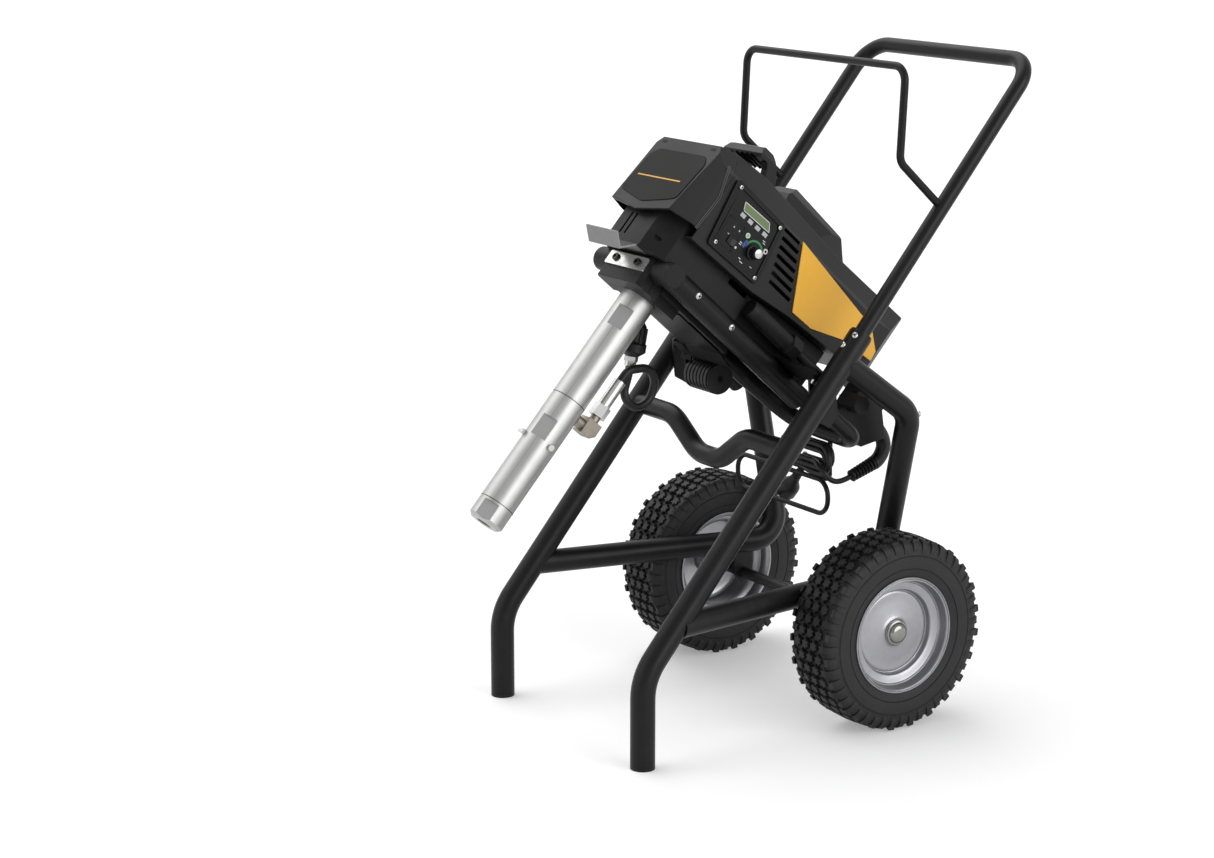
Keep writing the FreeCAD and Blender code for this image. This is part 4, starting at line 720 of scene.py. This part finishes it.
def addPanelMarks():
    thick, flat = panelFacts["print"], onPanel(0, 0)
    paintedShade, grey, white, green, blue, ridge = (Shape() for part in range(6))
    # a thin black sheet of painted shade where the panel's left part steps down
    paintedShade.prism(panelFacts["paintedShade"], 0, 0.25, flat)
    addStrip(white, panelFacts["display"], flat, wide=1.1, low=0.5, high=0.8)
    addStrip(ridge, rounded(panelFacts["outline"], 7, 4), flat, wide=1.2, low=0.0, high=2.3)
    addStrip(ridge, rounded(panelFacts["field"], 3, 3), flat, wide=0.9, low=0.0, high=0.5)
    inner, outer = panelFacts["scaleRadii"]
    for i in range(panelFacts["scaleParts"]):
        a, b = (math.radians(panelFacts["scaleFrom"] + panelFacts["scaleStep"] * k) for k in (i, i + 1))
        corners = [(r * math.cos(t), r * math.sin(t)) for r, t in ((inner, a), (outer, a), (outer, b), (inner, b))]
        green.prism(corners, 0, thick, onPanel(*panelFacts["knob"]))
    blue.prism(panelFacts["patch"], 0, thick, flat)
    for shape, marks in ((white, whiteMarks), (grey, greyMarks)):
        for u, v, wide, tall in marks:
            shape.block((thick, wide, tall), onPanel(u, v, thick / 2))
    paintedShade.piece("panelPaintedShade", "holeBlack", "cart", "black_plastic")
    grey.piece("panelMarks", "markGrey", "cart", "black_plastic")
    white.piece("panelPrint", "markWhite", "cart", "black_plastic")
    green.piece("panelScale", "markGreen", "cart", "black_plastic")
    blue.piece("panelPatch", "markBlue", "cart", "black_plastic")
    ridge.piece("panelRidges", "trimBlack", "cart", "black_plastic")


def addPanelFittings():
    ring, lens, cap = Shape(), Shape(), Shape()
    ring.lathe(panelFacts["socketRing"], 32, onPanel(*panelFacts["socket"]))
    ring.lathe(panelFacts["lampRing"], 32, onPanel(*panelFacts["lamp"]))
    ring.piece("panelRings", "zinc", "cart", "bright_steel")
    lens.lathe(panelFacts["lens"], 24, onPanel(*panelFacts["lamp"]), False)
    lens.piece("panelLamp", "lampGreen", "cart", "clear_window")
    pointer = panelFacts["pointer"]
    place = onPanel(*panelFacts["knob"], pointer["lift"]) @ Matrix.Rotation(pointer["turn"], 4, "X")
    cap.lathe(panelFacts["cap"], 40, onPanel(*panelFacts["knob"]), False)
    cap.block(pointer["size"], place @ Matrix.Translation((0, 0, pointer["reach"])))
    cap.piece("knobCap", "zinc", "knob", "bright_steel")


addPanelMarks()
addPanelFittings()
print("panel done")


# front cover: plate with a plain stripe, two notches above it drawn as black patches of painted shade, and the double
# rib of its seam in a painted-highlight grey
coverFacts = {"low": 70.0, "front": -100.7, "slope": 0.12143, "notches": ((-66, 215.5), (64, 215.5)),
              "notch": [(-6, -2.4), (6, -2.4), (6, 2.4), (-6, 2.4)]}
badgeFacts = {"middle": 150.0, "layers": ((-0.6, 1.0), (0.7, 1.0), (1.1, 0.993)),
              "outline": [(-62, 201), (62, 201), (76, 186), (75, 117), (66, 112), (0, 97.5), (-66, 112), (-75, 117),
                          (-76, 186)],
              "stripe": (0.3, 114.0, 2.4), "stripeAt": (-4, 145.8, 1.15)}
seamFacts = {"x": 97, "line": [(-50.5, 96.5), (-46.8, 157.6), (-63.6, 204.3)], "apart": 1.6, "height": 1.6,
             "width": 1.3, "soft": 0.4}


def onCover(x, v, lift=0.0):
    # local X out of the cover's front face, Y across, Z up along it
    lean = math.atan(coverFacts["slope"])
    u = coverFacts["front"] + (v - coverFacts["low"]) * coverFacts["slope"]
    place = Matrix.Translation((x, u, v)) @ Matrix.Rotation(-lean, 4, "X") @ Matrix.Rotation(-math.pi / 2, 4, "Z")
    return unitMm @ place @ Matrix.Translation((lift, 0, 0))


def addBadge():
    plate, stripe, notchShades = Shape(), Shape(), Shape()
    outline = rounded([(-x, v - badgeFacts["middle"]) for x, v in badgeFacts["outline"]], 7, 4)
    plate.layers([[(lift, a * share, b * share) for a, b in outline] for lift, share in badgeFacts["layers"]],
                 onCover(0, badgeFacts["middle"]))
    plate.piece("badgePlate", "badgeBlack", "cart", "black_plastic", 25)
    stripe.block(badgeFacts["stripe"], onCover(*badgeFacts["stripeAt"]))
    stripe.piece("badgeStripe", "panelYellow", "cart", "yellow_plastic")
    # the notches are black patches of painted shade, not cut holes
    for x, v in coverFacts["notches"]:
        notchShades.prism(rounded(coverFacts["notch"], 2.4), -0.3, 0.25, onCover(x, v))
    notchShades.piece("coverNotchShade", "holeBlack", "cart", "black_plastic")


def addSeamRib():
    # double rib where the front cover meets the motor shroud, coloured a lighter grey as a painted highlight
    rib = Shape()
    side = unitMm @ Matrix.Translation((seamFacts["x"], 0, 0))
    line = seamFacts["line"]
    for a, b in zip(line, line[1:]):
        turn = Matrix.Rotation(math.atan2(b[1] - a[1], b[0] - a[0]), 4, "X")
        middle = Matrix.Translation((0, (a[0] + b[0]) / 2, (a[1] + b[1]) / 2))
        size = (seamFacts["height"], math.dist(a, b), seamFacts["width"])
        for shift in (-seamFacts["apart"], seamFacts["apart"]):
            rib.block(size, side @ middle @ turn @ Matrix.Translation((0, 0, shift)), seamFacts["soft"])
    rib.piece("seamRib", "coverEdge", "cart", "black_plastic")


addBadge()
addSeamRib()


# screws with cross recesses drawn as black blocks of painted shade; legLine is a leg's centre line, along which the
# sleeves' screws are set out
legLine = {"slope": 50.26, "x": 204.5, "y": -286.7, "z": 140.6, "top": 618.5, "reach": 18.5,
           "screws": ((9.0, (0.5, -0.666, 0.553)), (30.0, (0, -0.769, 0.639)))}
screwFacts = {"sleeve": (5, 3.5), "hanger": ((212.0, 223.8, 483.2), (0.5, 0.86, 0.1), 5, 3),
              "rail": ((185.5, 225, 23), 4.5, 3), "tray": (((99, 21.5, 22.5), 5.5, 3), ((99, 104, 22.5), 5.5, 3)),
              "panel": ((-27, 192), (73, 190), (86, 104), (-10, 102)), "panelX": 101, "panelSize": (3.6, 1.8),
              "dome": (0.4, 0.8, 1.15), "crossTurn": 0.4, "crossArm": 0.55, "crossHalf": 0.14}
boltFacts = {"x": 29, "u": -57.9, "v": 15.4,
             "head": [(-1.5, 3), (-1.5, 6.2), (3.4, 6.2), (4.2, 5.6), (4.4, 3.2), (4.2, 3.0), (1.4, 2.9), (1.4, 0.3)]}


def screwPlaces():
    slope, upright, places = math.radians(legLine["slope"]), Matrix.Identity(4), []
    hanger, hangerWay, hangerRadius, hangerHeight = screwFacts["hanger"]
    for side in (-1, 1):
        mirror = Matrix.Scale(side, 4, (1, 0, 0))
        for along, way in legLine["screws"]:
            z = legLine["top"] - along * math.sin(slope)
            axis = Vector((legLine["x"], legLine["y"] + (z - legLine["z"]) / math.tan(slope), z))
            places.append((upright, mirror @ (axis + Vector(way) * legLine["reach"]), mirror @ Vector(way),
                           *screwFacts["sleeve"]))
        places.append((upright, mirror @ Vector(hanger), mirror @ Vector(hangerWay), hangerRadius, hangerHeight))
        for at, radius, height in (screwFacts["rail"], *screwFacts["tray"]):
            places.append((unitMm, mirror @ Vector(at), (side, 0, 0), radius, height))
    for u, v in screwFacts["panel"]:
        places.append((unitMm, (screwFacts["panelX"], u, v), (1, 0, 0), *screwFacts["panelSize"]))
    return places


def addScrews():
    heads, crossShades = Shape(), Shape()
    for base, at, way, radius, height in screwPlaces():
        place = base @ aimed(at, way)
        shank, rim = radius * 0.5, radius * 0.98
        profile = [(-1.5, shank), (0, shank), (0, radius), (height * 0.3, rim)]
        profile += [(height * (0.3 + 0.7 * math.sin(a)), rim * math.cos(a)) for a in screwFacts["dome"]]
        profile.append((height * 0.97, radius * 0.2))
        heads.lathe(profile, 28, place, False)
        # the cross recess is a black block of painted shade set in the head
        cross = (height * 0.5 + 0.05, 2 * radius * screwFacts["crossArm"], 2 * radius * screwFacts["crossHalf"])
        for turn in (screwFacts["crossTurn"], screwFacts["crossTurn"] + math.pi / 2):
            crossShades.block(cross, place @ Matrix.Rotation(turn, 4, "X") @ Matrix.Translation((height * 0.775, 0, 0)))
    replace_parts(heads.piece("screwHeads", "zinc", "cart", "bright_steel", 35), "screws")
    crossShades.piece("screwCrossShade", "holeBlack", "cart", "black_plastic", 20)


def addClampBolts():
    # socket bolts through the bright retainer plate
    bolts = Shape()
    for side in (-1, 1):
        place = unitMm @ aimed((side * boltFacts["x"], boltFacts["u"], boltFacts["v"]), (0, -1, 0))
        bolts.lathe(boltFacts["head"], 30, place, False)
    bolts.piece("clampBolts", "boltBlack", "cart", "bright_steel", 35)


addScrews()
addClampBolts()
print("cover and screws done")


# fluid section: clip and plug on the pump cylinder, dark gaps where the housings screw together
clipFacts = {"blocks": (((5, 12, 8), (-6, -29.5, -290)), ((14, 3, 5), (-12, -31.5, -290))), "soft": 1,
             "plugAt": (28.0, 2, -289), "plug": [(0, 5.5), (5, 5.5), (5.6, 4.8), (5.6, 0.5)]}
jointFacts = {"places": (-209.9, -402.4), "ring": [(-0.6, 27.4), (-0.6, 28.62), (0.6, 28.62), (0.6, 27.4)]}


def addCylinderClip():
    metal = Shape()
    for size, at in clipFacts["blocks"]:
        metal.block(size, unitMm @ Matrix.Translation(at), clipFacts["soft"])
    metal.lathe(clipFacts["plug"], 24, unitMm @ aimed(clipFacts["plugAt"], (1, 0, 0)), False)
    metal.piece("cylinderClip", "zinc", "cart", "bright_steel")


def addJointRings():
    rings = Shape()
    for v in jointFacts["places"]:
        rings.lathe(jointFacts["ring"], 64, unitMm @ aimed((0, 0, v), (0, 0, 1)))
    rings.piece("jointRings", "holeBlack", "cart", "chrome_steel", 30)


addCylinderClip()
addJointRings()
print("fluid section done")


# pale floor under plain soft light; the suns are wide, so the shadows are soft
stageFacts = {"floor": 0.86, "fleck": 0.01, "lift": 0.26, "reach": 60.0, "world": 0.42, "room": 0.62,
              "behind": (-0.85, 0.53, 0.0), "turning": (-0.1, 0.75),
              "suns": {"overSun": ((-0.5, -0.1, 0.86), 1.5, 60), "sideSun": ((0.93, 0.31, 0.2), 2.0, 52),
                       "frontSun": ((-0.3, -0.88, 0.35), 0.6, 50)}}


def addFloor():
    reach, tone = stageFacts["reach"], stageFacts["floor"]
    corners = [(-reach, -reach, 0), (reach, -reach, 0), (reach, reach, 0), (-reach, reach, 0)]
    mesh = bpy.data.meshes.new("floor")
    mesh.from_pydata(corners, [], [(0, 1, 2, 3)])
    floor = linked("floor", mesh)
    paint = Paint("floorPale", Specular_IOR_Level=0.0, Roughness=0.8, Emission_Strength=1.0)
    paint.feed("Base Color", paint.mixed(paint.noise(3), (tone,) * 3, (tone - stageFacts["fleck"],) * 3))
    seen = paint.ray("Is Camera Ray") + paint.ray("Is Glossy Ray") + paint.ray("Is Transmission Ray")
    paint.feed("Emission Color", paint.mixed(paint.ramp(seen, 0, 1), (0, 0, 0), (stageFacts["lift"],) * 3))
    mesh.materials.append(paint.material)


def addSuns():
    for name, (place, strength, spread) in stageFacts["suns"].items():
        data = bpy.data.lights.new(name, "SUN")
        data.angle = math.radians(spread)
        data.energy = strength
        linked(name, data).rotation_euler = (-Vector(place)).to_track_quat("-Z", "Y").to_euler()


def addWorld():
    # white where it is seen; gloss mirrors the white backdrop behind and the dimmer room in front
    world = bpy.data.worlds.new("studio")
    bpy.context.scene.world = world
    world.use_nodes = True
    sky = Nodes(world.node_tree, "Background")
    way = sky.node("ShaderNodeTexCoord", out="Generated")
    toward = sky.vectors("DOT_PRODUCT", way, stageFacts["behind"], out="Value")
    mirrored = stageFacts["room"] + sky.ramp(toward, *stageFacts["turning"]) * (1 - stageFacts["room"])
    glossy = sky.ray("Is Glossy Ray")
    seen = sky.ramp(sky.ray("Is Camera Ray") + sky.ray("Is Transmission Ray"), 0, 1)
    plain = stageFacts["world"] * (1 - glossy) + mirrored * glossy
    sky.feed("Strength", plain * (1 - seen) + seen)
    sky.shader.inputs["Color"].default_value = (1, 1, 1, 1)


addFloor()
addSuns()
addWorld()
bpy.context.scene.view_settings.view_transform = "Standard"

print("stage done")
